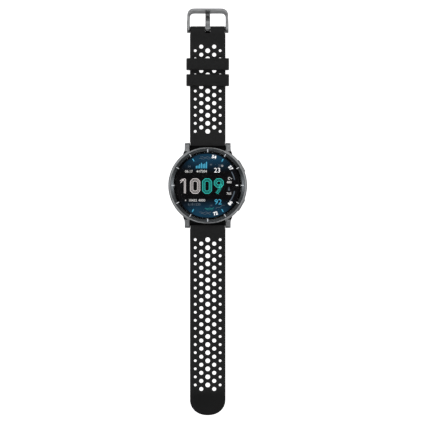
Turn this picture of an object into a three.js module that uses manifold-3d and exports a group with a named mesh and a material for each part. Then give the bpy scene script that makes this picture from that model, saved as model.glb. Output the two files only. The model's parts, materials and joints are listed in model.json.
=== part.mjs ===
// GPS running watch, laid on its back with both strap halves stretched out.
// Millimetres. +Z points out of the display, +Y to 12 o'clock and along the strap, +X to 3 o'clock.
// The origin is the middle of the sensor window's outer face, which touches the wrist.
import * as THREE from "three";
import { mergeVertices } from "three/addons/utils/BufferGeometryUtils.js";
import Module from "manifold-3d";

const wasm = await Module();
wasm.setup();

// ---- Driving dimensions ----
const caseRadius = 24.35; // metal middle frame
const bezelRadius = 23.55;
const glassRadius = 20.45;
const strapWidth = 22.0;
const lugGap = 22.4; // between the inner faces of a pair of lugs
const lugTip = 26.4; // distance of a lug's tip from 12 or 6 o'clock's centre line
const flatAt = 22.15; // the case is cut flat here to let the strap's end turn

// Heights above the wrist
const podZ = 0.35;
const backZ = 1.5;
const lowerCaseZ = 1.7;
const frameZ = 6.05;
const frameTopZ = 9.75;
const bezelZ = 9.8;
const bezelTopZ = 12.2;
const glassZ = 10.5;
const glassTopZ = 11.42;

// Strap: bar axis, thickness, and the two ends
const barY = 24.5;
const barZ = 4.3;
const barEndRadius = 2.05;
const thickness = 2.3;
const holePitch = 5.0;
const firstHoleY = 33.5;
const shortHoles = 11;
const longHoles = 19;
const tipY = 142.3;
const tipLength = 9.9;
const tipFullness = 2.15; // 2 is an ellipse, more is squarer

// Buckle
const buckleY = 96.4;
const buckleZ = 2.5;
const buckleEndRadius = 2.25;
const crossbarY = 106.4;
const crossbarTopY = 109.7;

// Buttons: pill caps that stand out of the frame at 2 and 4 o'clock
const buttonZ = 7.9;
const buttonAngle = THREE.MathUtils.degToRad(30);
const capRadius = 24.85;

const roundSides = 40;

// ---- Materials ----
const metal = (color, roughness) => new THREE.MeshStandardMaterial({ color, roughness, metalness: 1 });
const plain = (color, roughness) => new THREE.MeshStandardMaterial({ color, roughness, metalness: 0 });
const look = {
  bezelMetal: metal(0x75787b, 0.34),
  frameMetal: metal(0x6b6e71, 0.42),
  buckleMetal: metal(0x7b7d80, 0.36),
  hardware: metal(0x8d9092, 0.3),
  gold: metal(0xc9a552, 0.3),
  polymer: plain(0x151617, 0.6),
  rubber: plain(0x1e1e1f, 0.72),
  seal: plain(0x101010, 0.8),
  glass: new THREE.MeshStandardMaterial({ color: 0x9fb4bd, roughness: 0.04, transparent: true, opacity: 0.3 }),
  screen: plain(0x05070a, 0.12),
  sensor: plain(0x08090b, 0.08),
  board: plain(0x1d5a3a, 0.5),
  foil: metal(0xb9bbbd, 0.4),
  emitter: plain(0x6fd08a, 0.3),
  receiver: plain(0x3a2b24, 0.3),
};

// ---- Shape helpers ----
const axisX = new THREE.Vector3(1, 0, 0);
const axisY = new THREE.Vector3(0, 1, 0);
const axisZ = new THREE.Vector3(0, 0, 1);
// A drawing in (y, z) that is pushed along +X, and one in (x, z) that is pushed along -Y.
const sideways = new THREE.Matrix4().makeBasis(axisY, axisZ, axisX);
const lengthways = new THREE.Matrix4().makeBasis(axisX, axisZ, axisY.clone().negate());

function solid(geometry) {
  const bare = geometry.index ? geometry.toNonIndexed() : geometry.clone();
  const merged = mergeVertices(
    new THREE.BufferGeometry().setAttribute("position", bare.getAttribute("position")),
    1e-4,
  );
  return new wasm.Manifold(
    new wasm.Mesh({
      numProp: 3,
      vertProperties: merged.attributes.position.array,
      triVerts: new Uint32Array(merged.index.array),
    }),
  );
}

function part(name, body, material) {
  const surface = body.getMesh();
  const geometry = new THREE.BufferGeometry();
  geometry.setAttribute("position", new THREE.BufferAttribute(surface.vertProperties, 3));
  geometry.setIndex(new THREE.BufferAttribute(surface.triVerts, 1));
  geometry.computeVertexNormals();
  const mesh = new THREE.Mesh(geometry, material);
  mesh.name = name;
  return mesh;
}

const joined = (first, ...rest) => rest.reduce((body, piece) => body.add(piece), first);
const cut = (first, ...rest) => rest.reduce((body, piece) => body.subtract(piece), first);

// A profile of [radius, height] points, anticlockwise, turned about Z.
function turned(profile, sides = roundSides) {
  const points = profile.map(([r, z]) => new THREE.Vector2(r, z));
  if (profile[0][0] > 0) points.push(points[0].clone());
  return solid(new THREE.LatheGeometry(points, sides).rotateX(Math.PI / 2));
}

function block(xs, ys, zs) {
  const size = [xs, ys, zs].map(([low, high]) => high - low);
  const middle = [xs, ys, zs].map(([low, high]) => (high + low) / 2);
  return solid(new THREE.BoxGeometry(...size).translate(...middle));
}

function rodX(radius, [x0, x1], y, z, sides = 12) {
  const rod = new THREE.CylinderGeometry(radius, radius, x1 - x0, sides).rotateZ(-Math.PI / 2);
  return solid(rod.translate((x0 + x1) / 2, y, z));
}

function rodZ(radius, x, y, [z0, z1], sides = 16) {
  const rod = new THREE.CylinderGeometry(radius, radius, z1 - z0, sides).rotateX(Math.PI / 2);
  return solid(rod.translate(x, y, (z0 + z1) / 2));
}

function pushed(shape, depth, curveSegments = 8) {
  return new THREE.ExtrudeGeometry(shape, { depth, curveSegments, bevelEnabled: false });
}

const outline = (points) => new THREE.Shape(points.map(([a, b]) => new THREE.Vector2(a, b)));
const mixed = (from, to, share) => from + (to - from) * share * share * (3 - 2 * share);
const shareOf = (value, start, end) => Math.min(1, Math.max(0, (value - start) / (end - start)));

function arcPoints(y, z, radius, from, to, steps) {
  return Array.from({ length: steps + 1 }, (_, i) => {
    const angle = THREE.MathUtils.degToRad(from + ((to - from) * i) / steps);
    return [y + radius * Math.cos(angle), z + radius * Math.sin(angle)];
  });
}

// A rounded bar shape, wide along the first axis, centred on the origin.
function pill(length, height) {
  const radius = height / 2;
  const reach = length / 2 - radius;
  const shape = new THREE.Shape();
  shape.absarc(reach, 0, radius, -Math.PI / 2, Math.PI / 2);
  shape.absarc(-reach, 0, radius, Math.PI / 2, (3 * Math.PI) / 2);
  shape.closePath();
  return shape;
}

// ---- Watch head ----
const betweenLugs = (side) =>
  block([-lugGap / 2, lugGap / 2], side > 0 ? [flatAt, 32] : [-32, -flatAt], [-1, frameTopZ]);

// The case ends in a straight wall between each pair of lugs.
const endWall = (side, halfWidth, zs) =>
  block([-halfWidth, halfWidth], side > 0 ? [20.0, flatAt] : [-flatAt, -20.0], zs);

// Lug: its side view (y, z) and its plan (x, y), for the lug at 12 o'clock on the right.
const lugSide = [
  [18.5, 3.0], [20.5, 2.5], [25.0, 2.3], [26.0, 2.9], [lugTip, 4.1], [26.3, 5.6], [25.6, 6.8],
  [24.5, 7.4], [22.3, 8.05], [21.6, 8.2], [21.4, 6.9], [18.5, 6.9],
];
const lugPlan = [
  [lugGap / 2, 18], [15.3, 18.6], [14.85, 20.4], [14.1, 21.9], [14.1, lugTip + 0.1],
  [lugGap / 2, lugTip + 0.1],
];

function lug(mirrorX, mirrorY) {
  const side = pushed(outline(lugSide), 16).applyMatrix4(sideways);
  const plan = pushed(outline(lugPlan), 10);
  const under = rodZ(23.45, 0, 0, [0, frameZ - 0.02], roundSides);
  const pinHole = rodX(0.6, [lugGap / 2 - 0.1, 12.5], barY, barZ, 8);
  const whole = cut(solid(side).intersect(solid(plan)), under, pinHole);
  return whole.mirror([mirrorX ? 1 : 0, 0, 0]).mirror([0, mirrorY ? 1 : 0, 0]);
}

function placedButton(body, side) {
  return body.rotate([0, 0, THREE.MathUtils.radToDeg(side * buttonAngle)]);
}

function buttonPocket(side) {
  const seat = pushed(pill(8.9, 3.0), 3).applyMatrix4(sideways).translate(22.95, 0, buttonZ);
  const stemHole = rodX(1.3, [19.5, 23.1], 0, buttonZ);
  return placedButton(joined(solid(seat), stemHole), side);
}

function metalFrame() {
  const ring = turned([
    [20.6, frameZ], [24.0, frameZ], [caseRadius, 6.5], [caseRadius, 9.2], [24.0, frameTopZ], [20.6, frameTopZ],
  ], 60);
  const inside = rodZ(20.7, 0, 0, [0, 12], roundSides);
  const walls = [1, -1].map((side) => cut(endWall(side, lugGap / 2, [frameZ, frameTopZ]), inside));
  const opened = joined(cut(ring, betweenLugs(1), betweenLugs(-1)), ...walls);
  const corners = [[false, false], [true, false], [false, true], [true, true]];
  const lugs = corners.map(([x, y]) => cut(lug(x, y), inside));
  return cut(joined(opened, ...lugs), buttonPocket(1), buttonPocket(-1));
}

const screwRadius = 17.3;
const screwAngles = [45, 135, 225, 315];
const atAngle = (radius, degrees) => {
  const angle = THREE.MathUtils.degToRad(degrees);
  return [radius * Math.cos(angle), radius * Math.sin(angle)];
};

function lowerCase() {
  const shell = turned([
    [20.4, lowerCaseZ], [21.2, lowerCaseZ], [22.6, 2.6], [23.2, 4.0], [23.2, 6.0],
    [18.3, 6.0], [18.3, 3.2], [20.4, 3.2],
  ]);
  const bosses = screwAngles.map((a) => rodZ(1.6, ...atAngle(screwRadius, a), [3.2, 6.0], 12));
  const holes = screwAngles.map((a) => rodZ(0.75, ...atAngle(screwRadius, a), [3.0, 5.4], 8));
  const core = rodZ(20.9, 0, 0, [0, 7], roundSides);
  const walls = [1, -1].map((side) => cut(endWall(side, lugGap / 2 - 0.1, [3.0, 6.0]), core));
  return joined(cut(joined(shell, ...bosses), ...holes, betweenLugs(1), betweenLugs(-1)), ...walls);
}

const contactX = 2.5;
const contactY = -17.4;

function backCover() {
  const plate = turned([
    [12.9, podZ], [14.8, podZ], [15.4, backZ], [19.8, backZ], [20.1, 1.8], [20.1, 2.9],
    [11.4, 2.9], [11.4, 1.3], [12.9, 1.3],
  ]);
  const screwHoles = screwAngles.map((a) => {
    const [x, y] = atAngle(screwRadius, a);
    return joined(rodZ(0.8, x, y, [1, 3.2], 8), rodZ(1.4, x, y, [1, 2.2], 12));
  });
  const contactHoles = [-contactX, contactX].map((x) => rodZ(1.25, x, contactY, [1, 3.2], 12));
  return cut(plate, ...screwHoles, ...contactHoles);
}

function caseScrew(degrees) {
  const [x, y] = atAngle(screwRadius, degrees);
  const body = joined(rodZ(1.2, x, y, [1.6, 2.15], 12), rodZ(0.6, x, y, [2.1, 5.0], 8));
  return cut(body, rodZ(0.5, x, y, [1.5, 1.9], 6));
}

function bezel() {
  const ring = turned([
    [19.45, bezelZ], [23.35, bezelZ], [bezelRadius, 10.1], [bezelRadius, 11.7], [23.25, 12.15],
    [22.95, bezelTopZ], [22.8, 12.1], [20.8, 11.25], [20.75, 10.2], [19.45, 10.15],
  ], 60);
  // Twelve hour marks are engraved in the slope.
  const marks = Array.from({ length: 12 }, (_, hour) =>
    block([-0.2, 0.2], [21.0, 22.6], [11.1, 13]).rotate([0, 0, hour * 30]),
  );
  const slopeFloor = turned([[20.5, 10.95], [22.8, 11.93], [22.8, 13], [20.5, 13]], roundSides);
  return cut(ring, ...marks.map((mark) => mark.intersect(slopeFloor)));
}

function coverGlass() {
  return turned([
    [0, glassZ], [glassRadius, glassZ], [glassRadius, 11.2], [20.2, glassTopZ], [0, glassTopZ],
  ], 60);
}

function ringOf(inner, outer, z0, z1, sides = 30) {
  return turned([[inner, z0], [outer, z0], [outer, z1], [inner, z1]], sides);
}

function gpsAntenna() {
  const shape = new THREE.Shape();
  const from = (100 * Math.PI) / 180;
  const to = (260 * Math.PI) / 180;
  shape.absarc(0, 0, 20.2, from, to);
  shape.absarc(0, 0, 19.4, to, from, true);
  shape.closePath();
  return solid(pushed(shape, 1.0, 16).translate(0, 0, 8.4));
}

function headParts() {
  const parts = [
    part("sensor_window", turned([[0, 0], [12.0, 0], [12.6, 0.5], [12.6, 1.2], [0, 1.2]]), look.sensor),
    part("back_cover", backCover(), look.polymer),
    part("back_seal", ringOf(19.3, 19.9, 2.95, 3.15), look.seal),
    part("lower_case", lowerCase(), look.polymer),
    part("metal_frame", metalFrame(), look.frameMetal),
    part("bezel", bezel(), look.bezelMetal),
    part("glass_seal", ringOf(19.55, 20.35, 10.2, 10.42), look.seal),
    part("cover_glass", coverGlass(), look.glass),
    part("display_panel", rodZ(19.2, 0, 0, [9.65, 10.42], roundSides), look.screen),
    part("main_board", rodZ(17.0, 0, 0, [7.0, 7.7], 30), look.board),
    part("shield_can", block([-8, 8], [-6, 6], [7.75, 8.95]), look.foil),
    part("gps_antenna", gpsAntenna(), look.gold),
    part("inner_chassis", ringOf(12.9, 13.7, 3.3, 6.9), look.polymer),
    part("battery", rodZ(12.5, 0, 0, [3.3, 6.6], 30), look.foil),
    part("vibration_motor", block([-4, 4], [-17.4, -14.0], [3.4, 6.4]), look.hardware),
    part("speaker", block([-5, 5], [14.0, 17.0], [3.4, 6.4]), look.polymer),
    part("sensor_board", rodZ(11.0, 0, 0, [1.6, 2.3], 30), look.board),
    part("green_emitter", block([-1.3, 1.3], [-1.1, 1.1], [1.25, 1.55]), look.emitter),
    part("red_emitter", block([-1.2, 1.2], [5.0, 6.8], [1.25, 1.55]), look.emitter),
    part("left_receiver", block([-7.4, -4.8], [-1.5, 1.5], [1.25, 1.55]), look.receiver),
    part("right_receiver", block([4.8, 7.4], [-1.5, 1.5], [1.25, 1.55]), look.receiver),
    part("left_charge_contact", rodZ(1.05, -contactX, contactY, [1.45, 3.1], 12), look.gold),
    part("right_charge_contact", rodZ(1.05, contactX, contactY, [1.45, 3.1], 12), look.gold),
  ];
  screwAngles.forEach((degrees, i) => {
    parts.push(part(`case_screw_${i + 1}`, caseScrew(degrees), look.hardware));
  });
  return parts;
}

// ---- Buttons, drawn with +X outwards and turned to 2 or 4 o'clock ----
function buttonParts(which) {
  const cap = pushed(pill(8.4, 2.5), 2.4).applyMatrix4(sideways).translate(23.45, 0, buttonZ);
  const crown = rodZ(capRadius, 0, 0, [0, 12], 144);
  const capBody = joined(solid(cap).intersect(crown), rodX(0.8, [19.9, 23.6], 0, buttonZ));
  const tube = (inner, outer, xs) => cut(rodX(outer, xs, 0, buttonZ), rodX(inner, [18, 24], 0, buttonZ));
  const housing = block([17.3, 19.0], [-1.6, 1.6], [7.0, 8.8]);
  return [
    part(`${which}_button_cap`, capBody, look.frameMetal),
    part(`${which}_button_seal`, tube(0.88, 1.2, [21.7, 22.2]), look.seal),
    part(`${which}_button_clip`, tube(0.9, 1.5, [20.0, 20.3]), look.hardware),
    part(`${which}_button_switch`, joined(housing, rodX(0.5, [18.9, 19.4], 0, buttonZ, 12)), look.polymer),
  ];
}

// ---- Strap halves, drawn with +Y outwards from the case ----
function strapSide(isShort) {
  const flatZ = isShort ? 2.45 : thickness / 2;
  const flatFrom = isShort ? 44 : 48;
  const middle = (y) => mixed(barZ, flatZ, shareOf(y, barY, flatFrom));
  const half = (y) => mixed(barEndRadius, thickness / 2, shareOf(y, barY, 38));
  const stations = [25.5, 27, 29, 31, 33, 35.5, 38, 41, flatFrom];
  const top = stations.map((y) => [y, middle(y) + half(y)]);
  const bottom = stations.map((y) => [y, middle(y) - half(y)]).reverse();
  const barEnd = arcPoints(barY, barZ, barEndRadius, 270, 90, 8);
  if (!isShort) return outline([...barEnd, ...top, [tipY, thickness], [tipY, 0], ...bottom]);
  const swell = (y) => mixed(thickness / 2, buckleEndRadius, shareOf(y, 88, buckleY));
  const rise = (y) => mixed(flatZ, buckleZ, shareOf(y, 88, buckleY));
  const last = [88, 90, 92, 94];
  return outline([
    ...barEnd,
    ...top,
    ...last.map((y) => [y, rise(y) + swell(y)]),
    ...arcPoints(buckleY, buckleZ, buckleEndRadius, 90, -90, 8),
    ...last.map((y) => [y, rise(y) - swell(y)]).reverse(),
    ...bottom,
  ]);
}

// Five columns of round holes, largest in the middle: x, radius, and the shift along the strap.
const holeColumns = [
  { x: 0, radius: 1.465, shift: 0, sides: 8 },
  { x: 4.0, radius: 1.255, shift: holePitch / 2, sides: 6 },
  { x: 7.7, radius: 0.86, shift: 0, sides: 6 },
];

function strapPlan(isShort) {
  const half = strapWidth / 2;
  const shape = new THREE.Shape();
  shape.moveTo(-half, 20);
  shape.lineTo(half, 20);
  if (isShort) {
    shape.lineTo(half, 100);
    shape.lineTo(-half, 100);
  } else {
    const power = 2 / tipFullness;
    for (let i = 0; i <= 24; i++) {
      const angle = (Math.PI * i) / 24;
      const across = Math.sign(Math.cos(angle)) * Math.abs(Math.cos(angle)) ** power;
      shape.lineTo(half * across, tipY - tipLength + tipLength * Math.sin(angle) ** power);
    }
  }
  shape.closePath();
  for (const { x, radius, shift, sides } of holeColumns) {
    for (const column of x ? [-x, x] : [0]) {
      for (let i = 0; i < (isShort ? shortHoles : longHoles); i++) {
        const y = firstHoleY + shift + i * holePitch;
        const points = arcPoints(column, y, radius, 0, 360, sides).slice(0, sides);
        shape.holes.push(new THREE.Path(points.map(([a, b]) => new THREE.Vector2(a, b))));
      }
    }
  }
  return shape;
}

function strap(isShort) {
  const plan = solid(pushed(strapPlan(isShort), 12, 12).translate(0, 0, -2));
  const side = solid(pushed(strapSide(isShort), 30).applyMatrix4(sideways).translate(-15, 0, 0));
  const barBore = rodX(1.05, [-12, 12], barY, barZ);
  const leverSlot = block([5.0, 9.2], [barY - 1.3, barY + 1.5], [0, barZ]);
  const body = cut(plan.intersect(side), barBore, leverSlot);
  if (!isShort) return body;
  const buckleBore = rodX(0.95, [-12, 12], buckleY, buckleZ, 12);
  const tongueNotch = block([-1.7, 1.7], [94.3, 100], [-1, 8]); // 0.25 clear of the tongue on each side
  return cut(body, buckleBore, tongueNotch);
}

// Quick-release spring bar: a slotted tube, a fixed pin, and a sprung pin with a lever.
function springBarParts(which) {
  const leverX = 7.4;
  const shell = rodX(0.9, [-10.7, 10.7], barY, barZ);
  const bore = rodX(0.6, [-11, 11], barY, barZ);
  const slot = block([5.6, 8.0], [barY - 0.45, barY + 0.45], [barZ - 2, barZ]);
  const leverPin = joined(
    rodX(0.45, [6.9, 12.3], barY, barZ, 8),
    rodZ(0.35, leverX, barY, [2.6, barZ], 10),
    rodZ(0.85, leverX, barY, [2.3, 2.9], 14),
  );
  const coil = cut(rodX(0.5, [-9.2, 5.2], barY, barZ, 8), rodX(0.3, [-10, 6], barY, barZ, 8));
  return [
    part(`${which}_bar_tube`, cut(shell, bore, slot), look.hardware),
    part(`${which}_bar_fixed_pin`, rodX(0.45, [-12.3, -9.4], barY, barZ, 8), look.hardware),
    part(`${which}_bar_spring`, coil, look.hardware),
    part(`${which}_bar_release_pin`, leverPin, look.hardware),
  ];
}

// ---- Keepers: loops that hold the strap's tail against the short half ----
const keeperLength = 7.15;
const keeperHalf = 13.2;
const keeperTop = 7.5;

function roundedBox(halfWidth, low, high, radius) {
  const shape = new THREE.Shape();
  shape.absarc(halfWidth - radius, low + radius, radius, -Math.PI / 2, 0);
  shape.absarc(halfWidth - radius, high - radius, radius, 0, Math.PI / 2);
  shape.absarc(-halfWidth + radius, high - radius, radius, Math.PI / 2, Math.PI);
  shape.absarc(-halfWidth + radius, low + radius, radius, Math.PI, (3 * Math.PI) / 2);
  shape.closePath();
  return shape;
}

function keeper(name, middleY) {
  const outer = pushed(roundedBox(keeperHalf, 0, keeperTop, 1.6), keeperLength, 3);
  const inner = pushed(roundedBox(11.3, 1.15, 6.25, 0.5), keeperLength + 2, 2).translate(0, 0, -1);
  const loop = cut(solid(outer.applyMatrix4(lengthways)), solid(inner.applyMatrix4(lengthways)));
  const mesh = part(name, loop, look.rubber);
  mesh.position.y = middleY + keeperLength / 2;
  return mesh;
}

// ---- Buckle ----
const armHalf = 12.92;
const armInner = 11.2;
const tongueHalf = 1.45;

function buckleFrame() {
  const plan = new THREE.Shape();
  plan.moveTo(armHalf, 94.4);
  plan.lineTo(12.85, 100.0);
  plan.lineTo(12.6, 105.0);
  plan.quadraticCurveTo(12.4, crossbarTopY, 8.2, crossbarTopY);
  plan.lineTo(-8.2, crossbarTopY);
  plan.quadraticCurveTo(-12.4, crossbarTopY, -12.6, 105.0);
  plan.lineTo(-12.85, 100.0);
  plan.lineTo(-armHalf, 94.4);
  plan.lineTo(-armInner, 94.4);
  plan.lineTo(-armInner, 102.6);
  plan.quadraticCurveTo(-armInner, crossbarY, -7.4, crossbarY);
  plan.lineTo(7.4, crossbarY);
  plan.quadraticCurveTo(armInner, crossbarY, armInner, 102.6);
  plan.lineTo(armInner, 94.4);
  plan.closePath();
  const side = outline([
    ...arcPoints(buckleY, buckleZ, 1.9, 90, 270, 10),
    [106.0, 0.2], [109.3, 0.2], [crossbarTopY, 0.6], [crossbarTopY, 2.5], [109.3, 3.0], [105.5, 3.05],
  ]);
  const body = solid(pushed(plan, 8, 6)).intersect(
    solid(pushed(side, 30).applyMatrix4(sideways).translate(-15, 0, 0)),
  );
  const pinHole = rodX(0.55, [-12.0, 12.0], buckleY, buckleZ, 12);
  const tipNotch = block([-tongueHalf - 0.2, tongueHalf + 0.2], [106, 108.4], [2.3, 4]);
  return cut(body, pinHole, tipNotch);
}

function buckleTongue() {
  const bend = outline([
    ...arcPoints(buckleY, buckleZ, 1.75, -30, -270, 12),
    [97.6, 4.1], [98.8, 3.83], [100.3, 3.5], [102.5, 3.22], [104.6, 3.25], [106.2, 3.6], [107.7, 3.8],
    [108.1, 3.4], [108.1, 2.55], [106.4, 2.5], [104.6, 2.05], [102.5, 1.85], [99.8, 1.75],
  ]);
  const body = solid(pushed(bend, 2 * tongueHalf).applyMatrix4(sideways).translate(-tongueHalf, 0, 0));
  return cut(body, rodX(0.95, [-2, 2], buckleY, buckleZ));
}

function buckleParts() {
  const pinEnd = 11.9;
  const shell = cut(rodX(0.75, [-10.7, 10.7], buckleY, buckleZ), rodX(0.5, [-11, 11], buckleY, buckleZ));
  const pin = (xs) => rodX(0.38, xs, buckleY, buckleZ, 12);
  return [
    part("buckle_frame", buckleFrame(), look.buckleMetal),
    part("buckle_tongue", buckleTongue(), look.buckleMetal),
    part("buckle_bar_tube", shell, look.hardware),
    part("buckle_bar_left_pin", pin([-pinEnd, -9.2]), look.hardware),
    part("buckle_bar_right_pin", pin([9.2, pinEnd]), look.hardware),
  ];
}

// ---- Assembly ----
const watch = new THREE.Group();
const head = new THREE.Group();
head.add(...headParts());
for (const [which, side] of [["upper", 1], ["lower", -1]]) {
  const button = new THREE.Group();
  button.rotation.z = side * buttonAngle;
  button.add(...buttonParts(which));
  head.add(button);
}

const shortHalf = new THREE.Group();
shortHalf.add(part("short_strap", strap(true), look.rubber), ...springBarParts("upper"));
shortHalf.add(keeper("upper_keeper", 75.05), keeper("lower_keeper", 65.15), ...buckleParts());

const longHalf = new THREE.Group();
longHalf.rotation.z = Math.PI;
longHalf.add(part("long_strap", strap(false), look.rubber), ...springBarParts("lower"));

watch.add(head, shortHalf, longHalf);
export default watch;
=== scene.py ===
import bmesh
import bpy
import json
import math
import numpy as np
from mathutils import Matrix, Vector


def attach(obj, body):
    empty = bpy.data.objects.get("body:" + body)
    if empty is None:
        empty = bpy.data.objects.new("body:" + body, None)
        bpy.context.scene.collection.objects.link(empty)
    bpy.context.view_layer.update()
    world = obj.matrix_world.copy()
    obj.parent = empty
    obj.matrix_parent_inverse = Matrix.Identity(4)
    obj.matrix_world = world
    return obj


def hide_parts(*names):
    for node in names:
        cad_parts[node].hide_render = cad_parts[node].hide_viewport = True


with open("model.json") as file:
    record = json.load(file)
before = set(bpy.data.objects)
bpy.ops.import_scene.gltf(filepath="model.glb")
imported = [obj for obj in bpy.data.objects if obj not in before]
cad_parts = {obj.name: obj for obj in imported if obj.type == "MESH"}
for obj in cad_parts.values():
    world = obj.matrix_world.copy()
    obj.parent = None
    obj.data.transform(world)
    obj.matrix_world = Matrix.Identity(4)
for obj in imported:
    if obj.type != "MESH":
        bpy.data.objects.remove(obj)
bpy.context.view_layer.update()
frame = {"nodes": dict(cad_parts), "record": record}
print("frame loaded", len(frame["nodes"]), "nodes")

# Lengths below are in millimetres and are scaled once, where a mesh is made.
toMetres = 0.001
sliver = 0.001  # a cutter's own fillet, and the radius at which a disc closes on its axis


def finishMesh(mesh, crease=32, merge=0.002):
    # doubles merged, normals outwards, smooth except over sharp edges
    bm = bmesh.new()
    bm.from_mesh(mesh)
    bmesh.ops.remove_doubles(bm, verts=bm.verts, dist=merge * toMetres)
    bmesh.ops.dissolve_degenerate(bm, dist=1e-7, edges=bm.edges)
    bmesh.ops.recalc_face_normals(bm, faces=bm.faces)
    bm.to_mesh(mesh)
    bm.free()
    mesh.polygons.foreach_set("use_smooth", np.ones(len(mesh.polygons), dtype=bool))
    mesh.set_sharp_from_angle(angle=math.radians(crease))
    mesh.update()


def markEdges(mesh, reach=0.5):
    # rounding of each vertex, from how far neighbouring normals open: 0 on flats, 1 on rims tighter than reach
    count = len(mesh.vertices)
    place = np.empty(count * 3)
    normal = np.empty(count * 3)
    mesh.vertices.foreach_get("co", place)
    mesh.vertices.foreach_get("normal", normal)
    place, normal = place.reshape(-1, 3), normal.reshape(-1, 3)
    ends = np.empty(len(mesh.edges) * 2, dtype=int)
    mesh.edges.foreach_get("vertices", ends)
    a, b = ends.reshape(-1, 2).T
    step, turn = place[b] - place[a], normal[b] - normal[a]
    bend = (step * turn).sum(1) / np.maximum((step * step).sum(1), 1e-12) * toMetres * reach
    bend = np.clip(bend, 0, 1)
    most = np.zeros(count)
    np.maximum.at(most, a, bend)
    np.maximum.at(most, b, bend)
    layer = mesh.attributes.get("edge") or mesh.attributes.new("edge", "FLOAT", "POINT")
    layer.data.foreach_set("value", most.astype(np.float32))


def makePiece(name, parts, material, crease=32, merge=0.002):
    # parts is a list of (points n x 3, faces) in millimetres
    points = np.vstack([np.asarray(p, dtype=float).reshape(-1, 3) for p, _ in parts])
    faces, start = [], 0
    for p, f in parts:
        for group in f:
            # a grid of quads, or one polygon
            shifted = np.asarray(group) + start
            faces += shifted.tolist() if shifted.ndim == 2 else [shifted.tolist()]
        start += len(np.asarray(p).reshape(-1, 3))
    mesh = bpy.data.meshes.new(name)
    mesh.from_pydata(points * toMetres, [], faces)
    finishMesh(mesh, crease, merge)
    markEdges(mesh)
    piece = bpy.data.objects.new(name, mesh)
    bpy.context.scene.collection.objects.link(piece)
    piece.data.materials.append(material)
    return piece


def settle(piece, body, slotName, *stands):
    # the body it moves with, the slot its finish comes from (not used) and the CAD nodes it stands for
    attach(piece, body)
    if stands:
        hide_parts(*stands)


def carve(piece, *cutters, crease=32):
    # exact boolean, applied at once; the cutters are removed
    for cutter in cutters:
        step = piece.modifiers.new("carve", "BOOLEAN")
        step.operation = "DIFFERENCE"
        step.solver = "EXACT"
        step.object = cutter
    bpy.context.view_layer.update()
    graph = bpy.context.evaluated_depsgraph_get()
    cut = bpy.data.meshes.new_from_object(piece.evaluated_get(graph))
    old = piece.data
    piece.modifiers.clear()
    piece.data = cut
    cut.materials.clear()
    cut.materials.append(old.materials[0])
    bpy.data.meshes.remove(old)
    for cutter in cutters:
        spare = cutter.data
        bpy.data.objects.remove(cutter)
        bpy.data.meshes.remove(spare)
    finishMesh(piece.data, crease)
    markEdges(piece.data)
    return piece


def gridFaces(rows, columns, wrapRows=False, wrapColumns=False):
    # quads of a rows x columns grid of points, optionally joined round
    i = np.arange(rows if wrapRows else rows - 1)
    j = np.arange(columns if wrapColumns else columns - 1)
    i, j = [k.ravel() for k in np.meshgrid(i, j, indexing="ij")]
    ni, nj = (i + 1) % rows, (j + 1) % columns
    return np.stack([i * columns + j, ni * columns + j, ni * columns + nj, i * columns + nj], 1)


def eased(corners, radius, steps=4, closed=True):
    # each corner becomes a quadratic curve that starts and ends at most radius away along its two sides
    p = np.asarray(corners, dtype=float)
    before, after = np.roll(p, 1, 0) - p, np.roll(p, -1, 0) - p
    lengthBefore = np.linalg.norm(before, axis=1, keepdims=True)
    lengthAfter = np.linalg.norm(after, axis=1, keepdims=True)
    radius = np.broadcast_to(np.asarray(radius, dtype=float).reshape(-1, 1), (len(p), 1))
    reach = np.minimum(radius, 0.48 * np.minimum(lengthBefore, lengthAfter))
    a, b = p + before / lengthBefore * reach, p + after / lengthAfter * reach
    t = np.linspace(0, 1, steps + 1)[None, :, None]
    curve = (1 - t) ** 2 * a[:, None] + 2 * t * (1 - t) * p[:, None] + t ** 2 * b[:, None]
    if not closed:
        return np.vstack([p[:1], curve[1:-1].reshape(-1, p.shape[1]), p[-1:]])
    return curve.reshape(-1, p.shape[1])


def turned(profile, sides=256, closed=True, centre=(0, 0)):
    # a profile of radius and height carried round the Z axis: x = r cos a, y = r sin a
    r, z = np.asarray(profile, dtype=float).T
    a = np.linspace(0, 2 * np.pi, sides, endpoint=False)[:, None]
    points = np.stack([centre[0] + r * np.cos(a), centre[1] + r * np.sin(a), z + 0 * a], -1)
    return points.reshape(-1, 3), [gridFaces(sides, len(r), True, closed)]


def slab(outline, low, high, fillet, place, steps=3):
    # an outline pushed from low to high, its rim inset by f(1 - sin t) while it climbs f(1 - cos t)
    o = np.asarray(outline, dtype=float)
    along = np.roll(o, -1, 0) - np.roll(o, 1, 0)
    along /= np.linalg.norm(along, axis=1, keepdims=True)
    area = 0.5 * np.sum(o[:, 0] * np.roll(o[:, 1], -1) - np.roll(o[:, 0], -1) * o[:, 1])
    outward = np.stack([along[:, 1], -along[:, 0]], 1) * np.sign(area)
    t = np.linspace(0, np.pi / 2, steps + 1)
    inset, climb = fillet * (1 - np.sin(t)), fillet * (1 - np.cos(t))
    inset = np.concatenate([inset, inset[::-1]])
    height = np.concatenate([low + climb, (high - climb)[::-1]])
    flat = o[None] - outward[None] * inset[:, None, None]
    u, v = flat[..., 0], flat[..., 1]
    points = place(u, v, height[:, None] + 0 * u)
    count = len(o)
    top = (len(height) - 1) * count
    faces = [gridFaces(len(height), count, False, True), list(range(count)), list(range(top, top + count))]
    return points.reshape(-1, 3), faces


def alongX(u, v, w):
    # a drawing of the YZ plane, pushed along X
    return np.stack([w, u, v], -1)


def alongZ(u, v, w):
    # a drawing of the XY plane, pushed along Z
    return np.stack([u, v, w], -1)


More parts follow.
